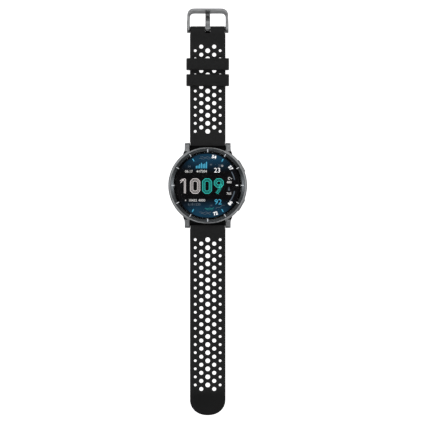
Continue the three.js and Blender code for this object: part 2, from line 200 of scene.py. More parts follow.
def loft(centres, sides, ups, fillet, closed=False, steps=3):
    # rounded rectangles carried along the centres; sides and ups are the half widths as vectors
    c, s, u = [np.asarray(k, dtype=float) for k in (centres, sides, ups)]
    width, height = np.linalg.norm(s, axis=1), np.linalg.norm(u, axis=1)
    sUnit, uUnit = s / width[:, None], u / height[:, None]
    r = np.minimum(np.minimum(fillet, width), height) * 0.999
    t = np.radians(np.concatenate([np.linspace(k, k + 90, steps + 1) for k in (0, 90, 180, 270)]))
    signX = np.repeat([1, -1, -1, 1], steps + 1)
    signY = np.repeat([1, 1, -1, -1], steps + 1)
    x = signX * (width - r)[:, None] + r[:, None] * np.cos(t)
    y = signY * (height - r)[:, None] + r[:, None] * np.sin(t)
    points = c[:, None] + sUnit[:, None] * x[..., None] + uUnit[:, None] * y[..., None]
    rows, ring = points.shape[:2]
    faces = [gridFaces(rows, ring, closed, True)]
    if not closed:
        faces += [list(range(ring)), list(range((rows - 1) * ring, rows * ring))]
    return points.reshape(-1, 3), faces


def shareOf(value, start, end):
    # (value - start) / (end - start), held between 0 and 1
    return np.clip((value - start) / (end - start), 0, 1)


def mixed(low, high, share):
    # low + (high - low) s^2 (3 - 2 s): level at both ends
    return low + (high - low) * share * share * (3 - 2 * share)


def arc(cy, cz, radius, start, end, steps):
    # points of a circle from start to end degrees
    t = np.radians(np.linspace(start, end, steps + 1))
    return np.stack([cy + radius * np.cos(t), cz + radius * np.sin(t)], 1)


def circle(radius, x, y, sides=36):
    # a whole arc without its repeated last point
    return arc(x, y, radius, 0, 360, sides)[:-1]


def mirrored(side, low, high):
    # low to high on the right (side 1), the same span on the left (side -1)
    return sorted((side * low, side * high))


def swung(x, y, turn):
    # x cos t - y sin t, x sin t + y cos t: a drawing turned by so many degrees
    c, s = math.cos(math.radians(turn)), math.sin(math.radians(turn))
    return x * c - y * s, x * s + y * c


def newGroup(name, inputs, outputs):
    # an empty shader group with its named sockets
    group = bpy.data.node_groups.new(name, "ShaderNodeTree")
    for label, value in inputs.items():
        made = group.interface.new_socket(label, in_out="INPUT", socket_type="NodeSocketFloat")
        made.default_value = value
    for label in outputs:
        kind = "NodeSocketColor" if label == "Color" else "NodeSocketFloat"
        group.interface.new_socket(label, in_out="OUTPUT", socket_type=kind)
    return group, group.nodes.new("NodeGroupInput"), group.nodes.new("NodeGroupOutput")


def addNode(tree, kind, settings=None, **links):
    # a node with its settings, and its inputs linked or filled by name
    node = tree.nodes.new(kind)
    for key, value in (settings or {}).items():
        setattr(node, key, value)
    for key, value in links.items():
        numbered = key[0] == "i" and key[1:].isdigit()
        socket = node.inputs[int(key[1:]) if numbered else key.replace("_", " ")]
        if isinstance(value, bpy.types.NodeSocket):
            tree.links.new(value, socket)
        else:
            socket.default_value = value
    return node


def mathNode(tree, operation, *values):
    # one sum, its values linked or filled in order
    links = {f"i{k}": v for k, v in enumerate(values)}
    return addNode(tree, "ShaderNodeMath", {"operation": operation}, **links).outputs[0]


def spreadNoise(tree, vector, scale, low, high, detail=2.0):
    # noise and the same noise stretched so that low to high fills 0 to 1
    noise = addNode(tree, "ShaderNodeTexNoise", Vector=vector, Scale=scale, Detail=detail).outputs["Fac"]
    return noise, addNode(tree, "ShaderNodeMapRange", Value=noise, From_Min=low, From_Max=high).outputs[0]


def fineGrainGroup():
    # three sizes of moulded grain: a fine tooth, a speckle and a slow unevenness
    group, come, go = newGroup("fineGrain", {"Scale": 4000.0, "Uneven Scale": 120.0}, ["Height", "Uneven", "Speckle"])
    where = group.nodes.new("ShaderNodeTexCoord").outputs["Object"]
    fine = addNode(group, "ShaderNodeTexNoise", Vector=where, Scale=come.outputs["Scale"], Detail=3.0, Roughness=0.6)
    slow = addNode(group, "ShaderNodeTexNoise", Vector=where, Scale=come.outputs["Uneven Scale"], Detail=4.0)
    speckle = spreadNoise(group, where, 1500.0, 0.32, 0.68)[1]
    group.links.new(fine.outputs["Fac"], go.inputs["Height"])
    group.links.new(slow.outputs["Fac"], go.inputs["Uneven"])
    group.links.new(speckle, go.inputs["Speckle"])
    return group


def edgeWearAndShadeGroup():
    # the stored rounding of the mesh, broken up by noise: a mask for worn rims, and for the painted shade on the
    # keepers' rims
    group, come, go = newGroup("edgeWearAndShade", {"Amount": 0.5, "Break Up": 900.0}, ["Mask"])
    where = group.nodes.new("ShaderNodeTexCoord").outputs["Object"]
    noise = addNode(group, "ShaderNodeTexNoise", Vector=where, Scale=come.outputs["Break Up"], Detail=3.0)
    edge = addNode(group, "ShaderNodeAttribute", {"attribute_name": "edge"}).outputs["Fac"]
    broken = mathNode(group, "ADD", mathNode(group, "MULTIPLY", noise.outputs["Fac"], 0.9), 0.45)
    mask = mathNode(group, "MULTIPLY", mathNode(group, "MULTIPLY", edge, broken), come.outputs["Amount"])
    group.links.new(mathNode(group, "MINIMUM", mask, 1.0), go.inputs["Mask"])
    return group


def circularBrushGroup():
    # turned lines: noise read over radius, with a slow change round the angle
    group, come, go = newGroup("circularBrush", {"Lines": 9000.0, "Around": 3.0}, ["Height", "Streak"])
    where = group.nodes.new("ShaderNodeTexCoord").outputs["Object"]
    part = addNode(group, "ShaderNodeSeparateXYZ", Vector=where).outputs
    radius = mathNode(group, "SQRT", mathNode(group, "ADD", mathNode(group, "MULTIPLY", part[0], part[0]),
                                              mathNode(group, "MULTIPLY", part[1], part[1])))
    angle = mathNode(group, "MULTIPLY", mathNode(group, "ARCTAN2", part[1], part[0]), come.outputs["Around"])
    across = mathNode(group, "MULTIPLY", mathNode(group, "ADD", radius, mathNode(group, "MULTIPLY", part[2], 0.7)),
                      come.outputs["Lines"])
    spot = addNode(group, "ShaderNodeCombineXYZ", X=across, Y=angle).outputs[0]
    noise, spread = spreadNoise(group, spot, 1.0, 0.3, 0.7)
    group.links.new(noise, go.inputs["Height"])
    group.links.new(spread, go.inputs["Streak"])
    return group


def straightBrushGroup():
    # lines along X: noise squeezed across them
    group, come, go = newGroup("straightBrush", {"Lines": 6000.0, "Length": 150.0}, ["Height", "Streak"])
    where = group.nodes.new("ShaderNodeTexCoord").outputs["Object"]
    part = addNode(group, "ShaderNodeSeparateXYZ", Vector=where).outputs
    x = mathNode(group, "MULTIPLY", part[0], come.outputs["Length"])
    y = mathNode(group, "MULTIPLY", part[1], come.outputs["Lines"])
    z = mathNode(group, "MULTIPLY", part[2], come.outputs["Lines"])
    spot = addNode(group, "ShaderNodeCombineXYZ", X=x, Y=y, Z=z).outputs[0]
    noise, spread = spreadNoise(group, spot, 1.0, 0.3, 0.7)
    group.links.new(noise, go.inputs["Height"])
    group.links.new(spread, go.inputs["Streak"])
    return group


def screenDotsGroup():
    # rows and columns of lit dots
    group, come, go = newGroup("screenDots", {"Pitch": 12500.0, "Depth": 0.25}, ["Light"])
    where = group.nodes.new("ShaderNodeTexCoord").outputs["Object"]
    part = addNode(group, "ShaderNodeSeparateXYZ", Vector=where).outputs
    waves = []
    for axis in (0, 1):
        turn = mathNode(group, "MULTIPLY", part[axis], come.outputs["Pitch"])
        waves.append(mathNode(group, "MULTIPLY", mathNode(group, "ADD", mathNode(group, "SINE", turn), 1.0), 0.5))
    dot = mathNode(group, "MULTIPLY", waves[0], waves[1])
    dim = mathNode(group, "SUBTRACT", 1.0, mathNode(group, "MULTIPLY", mathNode(group, "SUBTRACT", 1.0, dot),
                                                   come.outputs["Depth"]))
    group.links.new(dim, go.inputs["Light"])
    return group


fineGrain, edgeWearAndShade = fineGrainGroup(), edgeWearAndShadeGroup()
circularBrush, straightBrush, screenDots = circularBrushGroup(), straightBrushGroup(), screenDotsGroup()


def useGroup(tree, group, **values):
    # places a group with its own values and gives its outputs
    node = tree.nodes.new("ShaderNodeGroup")
    node.node_tree = group
    for key, value in values.items():
        node.inputs[key.replace("_", " ")].default_value = value
    return node.outputs


def startMaterial(name, **fixed):
    # a new material, its constants set on the shader's own sockets
    material = bpy.data.materials.new(name)
    material.use_nodes = True
    tree = material.node_tree
    shader = tree.nodes["Principled BSDF"]
    for key, value in fixed.items():
        shader.inputs[key.replace("_", " ")].default_value = value
    return material, tree, shader


def linear(*rgb):
    # display values 0-255 to linear
    c = np.array(rgb) / 255
    return tuple(np.where(c <= 0.04045, c / 12.92, ((c + 0.055) / 1.055) ** 2.4)) + (1.0,)


def blendColor(tree, share, low, high):
    # low + (high - low) share, for colours; each may be a link
    node = addNode(tree, "ShaderNodeMix", {"data_type": "RGBA"})
    for socket, value in zip((node.inputs[0], node.inputs[6], node.inputs[7]), (share, low, high)):
        if isinstance(value, bpy.types.NodeSocket):
            tree.links.new(value, socket)
        else:
            socket.default_value = value
    return node.outputs[2]


def blendShare(tree, share, low, high):
    # the same for one number
    return addNode(tree, "ShaderNodeMapRange", Value=share, To_Min=low, To_Max=high).outputs[0]


def easedShare(tree, value, start, end, low=0.0, high=1.0):
    # low before start, high after end, and level at both
    return addNode(tree, "ShaderNodeMapRange", {"interpolation_type": "SMOOTHSTEP"}, Value=value, From_Min=start,
                   From_Max=end, To_Min=low, To_Max=high).outputs[0]


def bump(tree, height, strength, distance):
    return addNode(tree, "ShaderNodeBump", Height=height, Strength=strength, Distance=distance).outputs[0]


def mouldedMaterial(name, look):
    # rubber or polymer: fine tooth, slow unevenness, and rims in the look's rim colour: paler worn rims, and on the
    # keepers darker rims that are painted shade
    material, tree, shader = startMaterial(name, IOR=look.get("ior", 1.45))
    grain = useGroup(tree, fineGrain, Scale=look["grain"], Uneven_Scale=look["uneven"])
    wearAndShade = useGroup(tree, edgeWearAndShade, Amount=look["wearAndShade"], Break_Up=1500.0)
    patches = mathNode(tree, "ADD", mathNode(tree, "MULTIPLY", grain["Uneven"], 0.5),
                       mathNode(tree, "MULTIPLY", grain["Speckle"], 0.5))
    base = blendColor(tree, patches, linear(*look["dark"]), linear(*look["pale"]))
    finish = blendColor(tree, wearAndShade["Mask"], base, linear(*look["rim"]))
    if "tipShadeFrom" in look:
        # painted shade: the strap's smooth end is darkened past a set distance along the strap, standing in for the
        # shade on its tilted tip
        where = tree.nodes.new("ShaderNodeTexCoord").outputs["Object"]
        along = addNode(tree, "ShaderNodeSeparateXYZ", Vector=where).outputs[1]
        past = easedShare(tree, mathNode(tree, "MULTIPLY", along, -1.0), look["tipShadeFrom"] * toMetres,
                          look["tipShadeTo"] * toMetres)
        finish = blendColor(tree, past, finish, linear(*look["tip"]))
    tree.links.new(finish, shader.inputs["Base Color"])
    rough = blendShare(tree, grain["Uneven"], look["rough"] - 0.05, look["rough"] + 0.07)
    tree.links.new(rough, shader.inputs["Roughness"])
    tree.links.new(bump(tree, grain["Height"], look["bump"], 0.00004), shader.inputs["Normal"])
    return material


def metalMaterial(name, look):
    # metal with turned or straight lines, uneven colour and brighter rims
    material, tree, shader = startMaterial(name, Metallic=1.0)
    group = circularBrush if look["lines"] == "turned" else straightBrush
    lines = useGroup(tree, group, Lines=look["pitch"])
    grain = useGroup(tree, fineGrain, Scale=look.get("grain", 3000.0), Uneven_Scale=look.get("uneven", 150.0))
    wearAndShade = useGroup(tree, edgeWearAndShade, Amount=look["wearAndShade"], Break_Up=2000.0)
    base = blendColor(tree, lines["Streak"], linear(*look["dark"]), linear(*look["pale"]))
    finish = blendColor(tree, wearAndShade["Mask"], base, linear(*look["rim"]))
    tree.links.new(finish, shader.inputs["Base Color"])
    rough = blendShare(tree, grain["Uneven"], look["rough"] - 0.06, look["rough"] + 0.06)
    tree.links.new(rough, shader.inputs["Roughness"])
    tree.links.new(bump(tree, lines["Height"], look["bump"], 0.00003), shader.inputs["Normal"])
    return material


def glossMaterial(name, look):
    # polished or moulded gloss piece with faint unevenness
    material, tree, shader = startMaterial(name, Metallic=look.get("metal", 0.0), Coat_Weight=look.get("coat", 0.0),
                                           IOR=look.get("ior", 1.45))
    grain = useGroup(tree, fineGrain, Scale=look.get("grain", 2500.0), Uneven_Scale=look.get("uneven", 200.0))
    base = blendColor(tree, grain["Uneven"], linear(*look["dark"]), linear(*look["pale"]))
    tree.links.new(base, shader.inputs["Base Color"])
    tree.links.new(blendShare(tree, grain["Uneven"], look["rough"], look["rough"] + 0.06), shader.inputs["Roughness"])
    tree.links.new(bump(tree, grain["Height"], look.get("bump", 0.05), 0.00002), shader.inputs["Normal"])
    return material


def paintMaterial(name, look):
    # pale paint: a moulded look with a painted glow, emission that makes the marks brighter than the lights alone
    material = mouldedMaterial(name, look)
    shader = material.node_tree.nodes["Principled BSDF"]
    shader.inputs["Emission Color"].default_value = (0.9, 0.95, 1.0, 1)
    shader.inputs["Emission Strength"].default_value = look["paintedGlow"]
    return material


unlit = (0.003, 0.003, 0.003, 1)  # the display's own near black


def glowMaterial(name, rgb, strength=1.0):
    # lit part of the display: colour broken into fine dots
    material, tree, shader = startMaterial(name, Roughness=0.1, IOR=1.08, Emission_Strength=strength,
                                           Base_Color=unlit)
    dots = useGroup(tree, screenDots)
    tree.links.new(blendColor(tree, dots["Light"], (0, 0, 0, 1), linear(*rgb)), shader.inputs["Emission Color"])
    return material


# the tip colour at the end of the strap's look is painted shade on its last stretch
strapLook = {"dark": (30, 30, 31), "pale": (46, 46, 47), "rim": (50, 50, 52), "rough": 0.6, "grain": 5200.0,
             "uneven": 90.0, "wearAndShade": 0.45, "bump": 0.25, "tipShadeFrom": 124.0, "tipShadeTo": 131.0, "tip": (12, 12, 13)}
polymerLook = {"dark": (17, 18, 19), "pale": (24, 25, 26), "rim": (46, 47, 49), "rough": 0.5, "grain": 6500.0,
               "uneven": 140.0, "wearAndShade": 0.4, "bump": 0.2}
sealLook = {"dark": (12, 12, 12), "pale": (18, 18, 18), "rim": (30, 30, 30), "rough": 0.7, "grain": 4000.0,
            "uneven": 200.0, "wearAndShade": 0.2, "bump": 0.2}
bezelLook = {"dark": (120, 123, 125), "pale": (152, 155, 157), "rim": (196, 198, 200), "rough": 0.36, "pitch": 9000.0,
             "lines": "turned", "wearAndShade": 0.5, "bump": 0.3}
slopeLook = {**bezelLook, "dark": (116, 121, 125), "pale": (150, 155, 159), "wearAndShade": 0.2, "rough": 0.24}
frameLook = {"dark": (103, 104, 105), "pale": (124, 125, 126), "rim": (196, 198, 200), "rough": 0.42, "pitch": 7000.0,
             "lines": "straight", "wearAndShade": 0.5, "bump": 0.16}
buckleLook = {"dark": (130, 131, 132), "pale": (162, 163, 164), "rim": (210, 211, 213), "rough": 0.38,
              "pitch": 6500.0, "lines": "straight", "wearAndShade": 0.45, "bump": 0.18}
# the tongue is the buckle's metal in a darker copy: painted shade for the dark reflections along its bends
tongueShadedLook = {**buckleLook, "dark": (82, 83, 84), "pale": (104, 105, 106), "rim": (120, 121, 122), "rough": 0.22}
hardwareLook = {"dark": (168, 169, 171), "pale": (196, 197, 199), "rim": (225, 226, 227), "rough": 0.3,
                "pitch": 9000.0, "lines": "straight", "wearAndShade": 0.4, "bump": 0.1}
# the keepers' rim colour is darker than their body: painted shade on their rounded flanks
keeperShadedRimLook = {**strapLook, "dark": (27, 27, 28), "pale": (46, 46, 47), "rim": (24, 24, 25), "rough": 0.58}
# a near-black matte for painted shade: dark pieces put in gaps where shade falls between parts
paintedShadeLook = {**sealLook, "dark": (5, 5, 5), "pale": (9, 9, 9), "rim": (14, 14, 14), "ior": 1.2}
# the marks' glow is painted light: emission that keeps them bright white
paintLook = {"dark": (228, 231, 233), "pale": (240, 242, 244), "rim": (246, 247, 248), "rough": 0.45,
             "grain": 5000.0, "uneven": 400.0, "wearAndShade": 0.3, "bump": 0.05, "paintedGlow": 0.35}
rubber = mouldedMaterial("strapRubber", strapLook)
keeperRubberShadedRims = mouldedMaterial("keeperRubberShadedRims", keeperShadedRimLook)
polymer = mouldedMaterial("blackPolymer", polymerLook)
seal = mouldedMaterial("sealRubber", sealLook)
paintedShadeBlack = mouldedMaterial("paintedShadeBlack", paintedShadeLook)
bezelMetal = metalMaterial("bezelMetal", bezelLook)
slopeMetal = metalMaterial("slopeMetal", slopeLook)
frameMetal = metalMaterial("frameMetal", frameLook)
buckleMetal = metalMaterial("buckleMetal", buckleLook)
tongueShadedMetal = metalMaterial("tongueShadedMetal", tongueShadedLook)
hardware = metalMaterial("hardwareSteel", hardwareLook)
glossLooks = {
    "goldPlate": {"dark": (196, 158, 82), "pale": (222, 188, 112), "rough": 0.25, "metal": 1.0},
    "greyFoil": {"dark": (168, 170, 172), "pale": (196, 198, 200), "rough": 0.4, "metal": 1.0, "bump": 0.3},
    "circuitBoard": {"dark": (16, 66, 42), "pale": (26, 92, 58), "rough": 0.4, "coat": 0.3},
    "smokedWindow": {"dark": (8, 8, 10), "pale": (12, 12, 14), "rough": 0.05, "coat": 1.0, "bump": 0.01},
    "emitterLens": {"dark": (58, 104, 70), "pale": (84, 140, 98), "rough": 0.15, "coat": 0.5},
    "receiverLens": {"dark": (40, 30, 26), "pale": (58, 44, 38), "rough": 0.15, "coat": 0.5},
    "blackPrint": {"dark": (5, 5, 6), "pale": (7, 7, 8), "rough": 0.06, "bump": 0.01, "ior": 1.12},
}
gold, foil, board, smoked, emitterLens, receiverLens, blackPrint = [
    glossMaterial(name, look) for name, look in glossLooks.items()]
markPaint = paintMaterial("markPaint", paintLook)
print("materials ready")

slotLooks = {
    "bezel_metal": bezelMetal, "frame_metal": frameMetal, "buckle_metal": buckleMetal, "hardware_steel": hardware,
    "gold_contact": gold, "black_polymer": polymer, "strap_rubber": rubber, "seal_rubber": seal,
    "display": blackPrint, "sensor_window": smoked, "green_board": board, "grey_foil": foil,
    "emitter": emitterLens, "receiver": receiverLens,
}
for entry in frame["record"]["subparts"]:
    look = slotLooks.get(entry["material_slot"])
    node = frame["nodes"][entry["node"]]
    if look:
        for slot in node.material_slots:
            slot.material = look


strapSizes = {"half": 11.0, "rim": 0.5, "thick": 2.3, "barY": 24.5, "barZ": 4.3, "barRadius": 2.05, "pitch": 5.0,
              "firstHole": 33.5, "holeRim": 0.22, "tipY": 142.3, "tipLength": 9.9, "tipFullness": 2.15,
              "buckleY": 96.4, "buckleZ": 2.5, "buckleRadius": 2.25, "endHalf": 10.76, "lugEase": (26.2, 27.0),
              "buckleEase": (93.6, 94.4), "shortMiddle": 2.45, "shortFlat": 44.0, "longFlat": 48.0, "fullY": 38.0,
              "thickY": 88.0, "thinY": 126.0, "thinBy": 0.28, "barBore": 1.05, "buckleBore": 0.95, "notchHalf": 1.54,
              "notch": (95.35, 100), "notchRamp": (94.3, 95.6), "leverWindow": (5.0, 9.2), "shortRows": 11,
              "longRows": 19}
holeColumns = [(0.0, 1.465, 0.0), (4.0, 1.255, 2.5), (7.7, 0.86, 0.0)]
stripEdges = [-9.3, -6.05, -2.1, 2.1, 6.05, 9.3]


def strapHeights(y, isShort):
    # middle and half thickness: smooth steps between the bar end, the flat run and the buckle end
    s = strapSizes
    flat, flatFrom = (s["shortMiddle"], s["shortFlat"]) if isShort else (s["thick"] / 2, s["longFlat"])
    middle = mixed(s["barZ"], flat, shareOf(y, s["barY"], flatFrom))
    half = mixed(s["barRadius"], s["thick"] / 2, shareOf(y, s["barY"], s["fullY"]))
    if isShort:
        end = shareOf(y, s["thickY"], s["buckleY"])
        middle = mixed(middle, s["buckleZ"], end)
        half = mixed(half, s["buckleRadius"], end)
    else:
        # the last stretch thins towards its tip
        thin = shareOf(y, s["thinY"], s["tipY"]) * s["thinBy"]
        middle, half = middle - thin, half - thin
    return middle, half


def strapSheet(rowsX, rowsY, normalX, normalY, isShort, side):
    # one face of the strap on a grid, with its rim rolled over to the middle height
    s = strapSizes
    roll = np.linspace(0, np.pi / 2, 5)[1:]
    out = np.concatenate([np.sin(roll) * s["rim"], [s["rim"]]])
    drop = np.concatenate([(1 - np.cos(roll)) * s["rim"], [np.nan]])
    left = np.stack([rowsX[:, :1] - normalX[:, None] * out[::-1], rowsY[:, :1] + normalY[:, None] * out[::-1]], -1)
    right = np.stack([rowsX[:, -1:] + normalX[:, None] * out, rowsY[:, -1:] + normalY[:, None] * out], -1)
    plan = np.concatenate([left, np.stack([rowsX, rowsY], -1), right], 1)
    drops = np.concatenate([drop[::-1], np.zeros(rowsX.shape[1]), drop])
    middle, half = strapHeights(plan[..., 1], isShort)
    height = np.where(np.isnan(drops), middle, middle + side * (half - np.nan_to_num(drops)))
    points = np.concatenate([plan, height[..., None]], -1)
    return points.reshape(-1, 3), [gridFaces(*plan.shape[:2])]


def barEnd(columnsX, centreY, centreZ, radius, outward):
    # the rounded end round a bar: half a circle in side view, inset at the rims, closed to the axis
    s = strapSizes
    t = np.radians(np.linspace(90, 270, 25))
    roll = np.linspace(0, np.pi / 2, 5)[1:]
    x = np.concatenate([columnsX[0] - s["rim"] * np.append(np.sin(roll), 1)[::-1], columnsX,
                        columnsX[-1] + s["rim"] * np.append(np.sin(roll), 1)])
    inset = np.append(1 - np.cos(roll), np.nan) * s["rim"]
    inset = np.concatenate([inset[::-1], np.zeros(len(columnsX)), inset])
    r = np.where(np.isnan(inset), 0, radius - np.nan_to_num(inset))
    y = centreY + r * np.cos(t)[:, None] * (1 if outward < 0 else -1)
    z = centreZ + r * np.sin(t)[:, None]
    points = np.stack([x + 0 * y, y, z], -1)
    return points.reshape(-1, 3), [gridFaces(*points.shape[:2])]


def holeTiles(isShort, count):
    # each hole is a ring patch from its circle out to a rectangle, with a rounded rim and a wall
    s = strapSizes
    tall, wide = 10, 6
    edge = np.concatenate([
        np.stack([np.ones(tall), np.linspace(-1, 1, tall, endpoint=False)], 1),
        np.stack([np.linspace(1, -1, wide, endpoint=False), np.ones(wide)], 1),
        np.stack([-np.ones(tall), np.linspace(1, -1, tall, endpoint=False)], 1),
        np.stack([np.linspace(-1, 1, wide, endpoint=False), -np.ones(wide)], 1)])
    parts = []
    for x, radius, shift in holeColumns:
        for column in ([x, -x] if x else [0.0]):
            strip = [k for k in range(5) if stripEdges[k] < column < stripEdges[k + 1]][0]
            low, high = stripEdges[strip], stripEdges[strip + 1]
            corner = np.stack([(low + high) / 2 - column + edge[:, 0] * (high - low) / 2,
                               edge[:, 1] * s["pitch"] / 2], 1)
            angle = np.arctan2(corner[:, 1], corner[:, 0])
            ring = np.stack([np.cos(angle), np.sin(angle)], 1)
            roll = np.linspace(0, np.pi / 2, 3)
            rims = [ring * (radius + s["holeRim"] * (1 - np.cos(a))) for a in roll]
            plan = np.stack(rims + [corner])
            drop = np.array([s["holeRim"] * (1 - math.sin(a)) for a in roll] + [0.0])
            centres = s["firstHole"] + shift + s["pitch"] * np.arange(count)
            for side in (1, -1):
                px = column + plan[None, ..., 0] + 0 * centres[:, None, None]
                py = centres[:, None, None] + plan[None, ..., 1]
                middle, half = strapHeights(py, isShort)
                pz = middle + side * (half - drop[None, :, None])
                wall = np.stack([px[:, :1], py[:, :1], middle[:, :1]], -1)
                points = np.concatenate([wall, np.stack([px, py, pz], -1)], 1)
                rows, around = points.shape[1:3]
                faces = gridFaces(rows, around, False, True)
                every = (faces[None] + (np.arange(count) * rows * around)[:, None, None]).reshape(-1, 4)
                parts.append((points.reshape(-1, 3), [every]))
    return parts


def strapColumns():
    # the cross lines shared by the plain runs and the perforated run
    s = strapSizes
    inner = s["half"] - s["rim"]
    lines = [np.linspace(stripEdges[k], stripEdges[k + 1], 7)[:-1] for k in range(5)]
    return np.concatenate([np.linspace(-inner, stripEdges[0], 3)[:-1], *lines, np.linspace(stripEdges[-1], inner, 3)])


def plainRun(ys, isShort, side, columns=None):
    # one face of an unperforated length, its cross lines at ys, with both rims
    x = strapColumns() if columns is None else columns
    rowsX, rowsY = np.meshgrid(x, ys)
    return strapSheet(rowsX, rowsY, np.ones(len(ys)), np.zeros(len(ys)), isShort, side)


def patchRun(x, ys, isShort, side):
    # one face of a small patch, middle + side * half thickness over x and ys, with no rims
    px, py = np.meshgrid(x, ys)
    middle, half = strapHeights(py, isShort)
    return np.stack([px, py, middle + side * half], -1).reshape(-1, 3), [gridFaces(*px.shape)]


def strapMesh(isShort):
    # both faces of one half: plain runs, hole tiles, the patches between staggered holes, margins and rounded ends
    s = strapSizes
    count = s["shortRows"] if isShort else s["longRows"]
    x = strapColumns()
    inner, step = s["half"] - s["rim"], s["pitch"] / 2
    firstRow = s["firstHole"] - step
    lastRow, lastMid = firstRow + s["pitch"] * count, s["firstHole"] + s["pitch"] * count
    parts = holeTiles(isShort, count)
    for side in (1, -1):
        parts.append(plainRun(np.linspace(s["barY"], firstRow, 14), isShort, side))
        for strip, start in ((1, firstRow), (3, firstRow), (0, lastRow), (2, lastRow), (4, lastRow)):
            across = np.linspace(stripEdges[strip], stripEdges[strip + 1], 7)
            parts.append(patchRun(across, np.arange(start, start + step + 0.01, 0.5), isShort, side))
        beside = np.arange(firstRow, lastMid + 0.01, 0.5)
        for sign in (1, -1):
            # margins outside the holes, with their rims
            points = plainRun(beside, isShort, side, np.linspace(stripEdges[-1], inner, 3))[0]
            grid = points.reshape(len(beside), -1, 3)[:, 5:] * [sign, 1, 1]
            parts.append((grid.reshape(-1, 3), [gridFaces(*grid.shape[:2])]))
        if isShort:
            parts.append(plainRun(np.linspace(lastMid, s["buckleY"], 20), isShort, side))
        else:
            # the tip: a superellipse in plan, x = half cos^n t and y = length sin^n t
            straight = s["tipY"] - s["tipLength"]
            parts.append(plainRun(np.linspace(lastMid, straight, 8), isShort, side))
            t = np.linspace(0, np.pi / 2, 33)
            c, q = np.cos(t), np.sin(t)
            full = 2 / s["tipFullness"]
            ox, oy = s["half"] * c ** full, straight + s["tipLength"] * q ** full
            nx, ny = c ** (2 - full) / s["half"], q ** (2 - full) / s["tipLength"]
            size = np.hypot(nx, ny)
            nx, ny = nx / size, ny / size
            ix, iy = np.maximum(ox - s["rim"] * nx, 0), oy - s["rim"] * ny
            rowsX = (x / x[-1])[None] * ix[:, None]
            parts.append(strapSheet(rowsX, iy[:, None] + 0 * rowsX, nx, ny, isShort, side))
    parts.append(barEnd(x, s["barY"], s["barZ"], s["barRadius"], -1))
    if isShort:
        parts.append(barEnd(x, s["buckleY"], s["buckleZ"], s["buckleRadius"], 1))
    return parts


def cutterOf(outline, low, high, place=alongZ):
    # an outline pushed from low to high, to cut with
    return makePiece("cutter", [slab(outline, low, high, sliver, place, 1)], polymer)


def cutterBox(xs, ys, zs, fillet=0.25):
    # a block with rounded upright edges
    return cutterOf(eased([[xs[0], ys[0]], [xs[1], ys[0]], [xs[1], ys[1]], [xs[0], ys[1]]], fillet), *zs)


def cutterRod(radius, xs, y, z):
    # a rod along X
    return cutterOf(circle(radius, y, z, 40), *xs, alongX)


def narrowed(points, isShort):
    # the half width eases from its full value down to endHalf beside the lugs and inside the buckle
    s = strapSizes
    share = 1 - shareOf(points[:, 1], *s["lugEase"])
    if isShort:
        share = np.maximum(share, shareOf(points[:, 1], *s["buckleEase"]))
    return points * np.stack([mixed(1.0, s["endHalf"] / s["half"], share), 1 + 0 * share, 1 + 0 * share], 1)


def buildStrap(isShort):
    s = strapSizes
    name, node = ("shortStrapHalf", "short_strap") if isShort else ("longStrapHalf", "long_strap")
    parts = [(narrowed(points, isShort), faces) for points, faces in strapMesh(isShort)]
    piece = makePiece(name, parts, rubber, crease=40)
    cutters = [cutterRod(s["barBore"], (-12, 12), s["barY"], s["barZ"]),
               cutterBox(s["leverWindow"], (s["barY"] - 1.3, s["barY"] + 1.5), (0, s["barZ"]), 0.5)]
    if isShort:
        notch = (-s["notchHalf"], s["notchHalf"])
        cutters += [cutterRod(s["buckleBore"], (-12, 12), s["buckleY"], s["buckleZ"]),
                    cutterBox(notch, s["notch"], (-1, 8), 0.2), cutterBox(notch, s["notchRamp"], (0.7, 8), 0.2)]
    carve(piece, *cutters, crease=40)
    if not isShort:
        # drawn towards +Y, then turned half round
        place = np.empty(len(piece.data.vertices) * 3)
        piece.data.vertices.foreach_get("co", place)
        piece.data.vertices.foreach_set("co", (place.reshape(-1, 3) * [-1, -1, 1]).ravel())
        piece.data.update()
    settle(piece, node, "strap_rubber", node)
    print(name, len(piece.data.polygons), "faces")


buildStrap(True)
buildStrap(False)


keeperSizes = {"length": 7.25, "half": 13.24, "inner": 11.32, "low": 1.15, "high": 6.25, "top": 7.5, "corner": 1.6,
               "rim": 0.45, "upper": 75.05, "lower": 65.15}


def roundedLoop(half, low, high, corner, across=24, steps=10):
    # a rounded rectangle with the same number of points on every side, so two of them can be joined
    arcs = [(half - corner, low + corner, 270), (half - corner, high - corner, 0),
            (-half + corner, high - corner, 90), (-half + corner, low + corner, 180)]
    runs = [4, across, 4, across]
    points = []
    for k, (cx, cz, start) in enumerate(arcs):
        bend = arc(cx, cz, corner, start, start + 90, steps)
        follow = arcs[(k + 1) % 4]
        first = arc(follow[0], follow[1], corner, follow[2], follow[2], 0)
        straight = bend[-1] + (first - bend[-1]) * np.linspace(0, 1, runs[k] + 2)[1:-1, None]
        points += [bend, straight]
    return np.vstack(points)


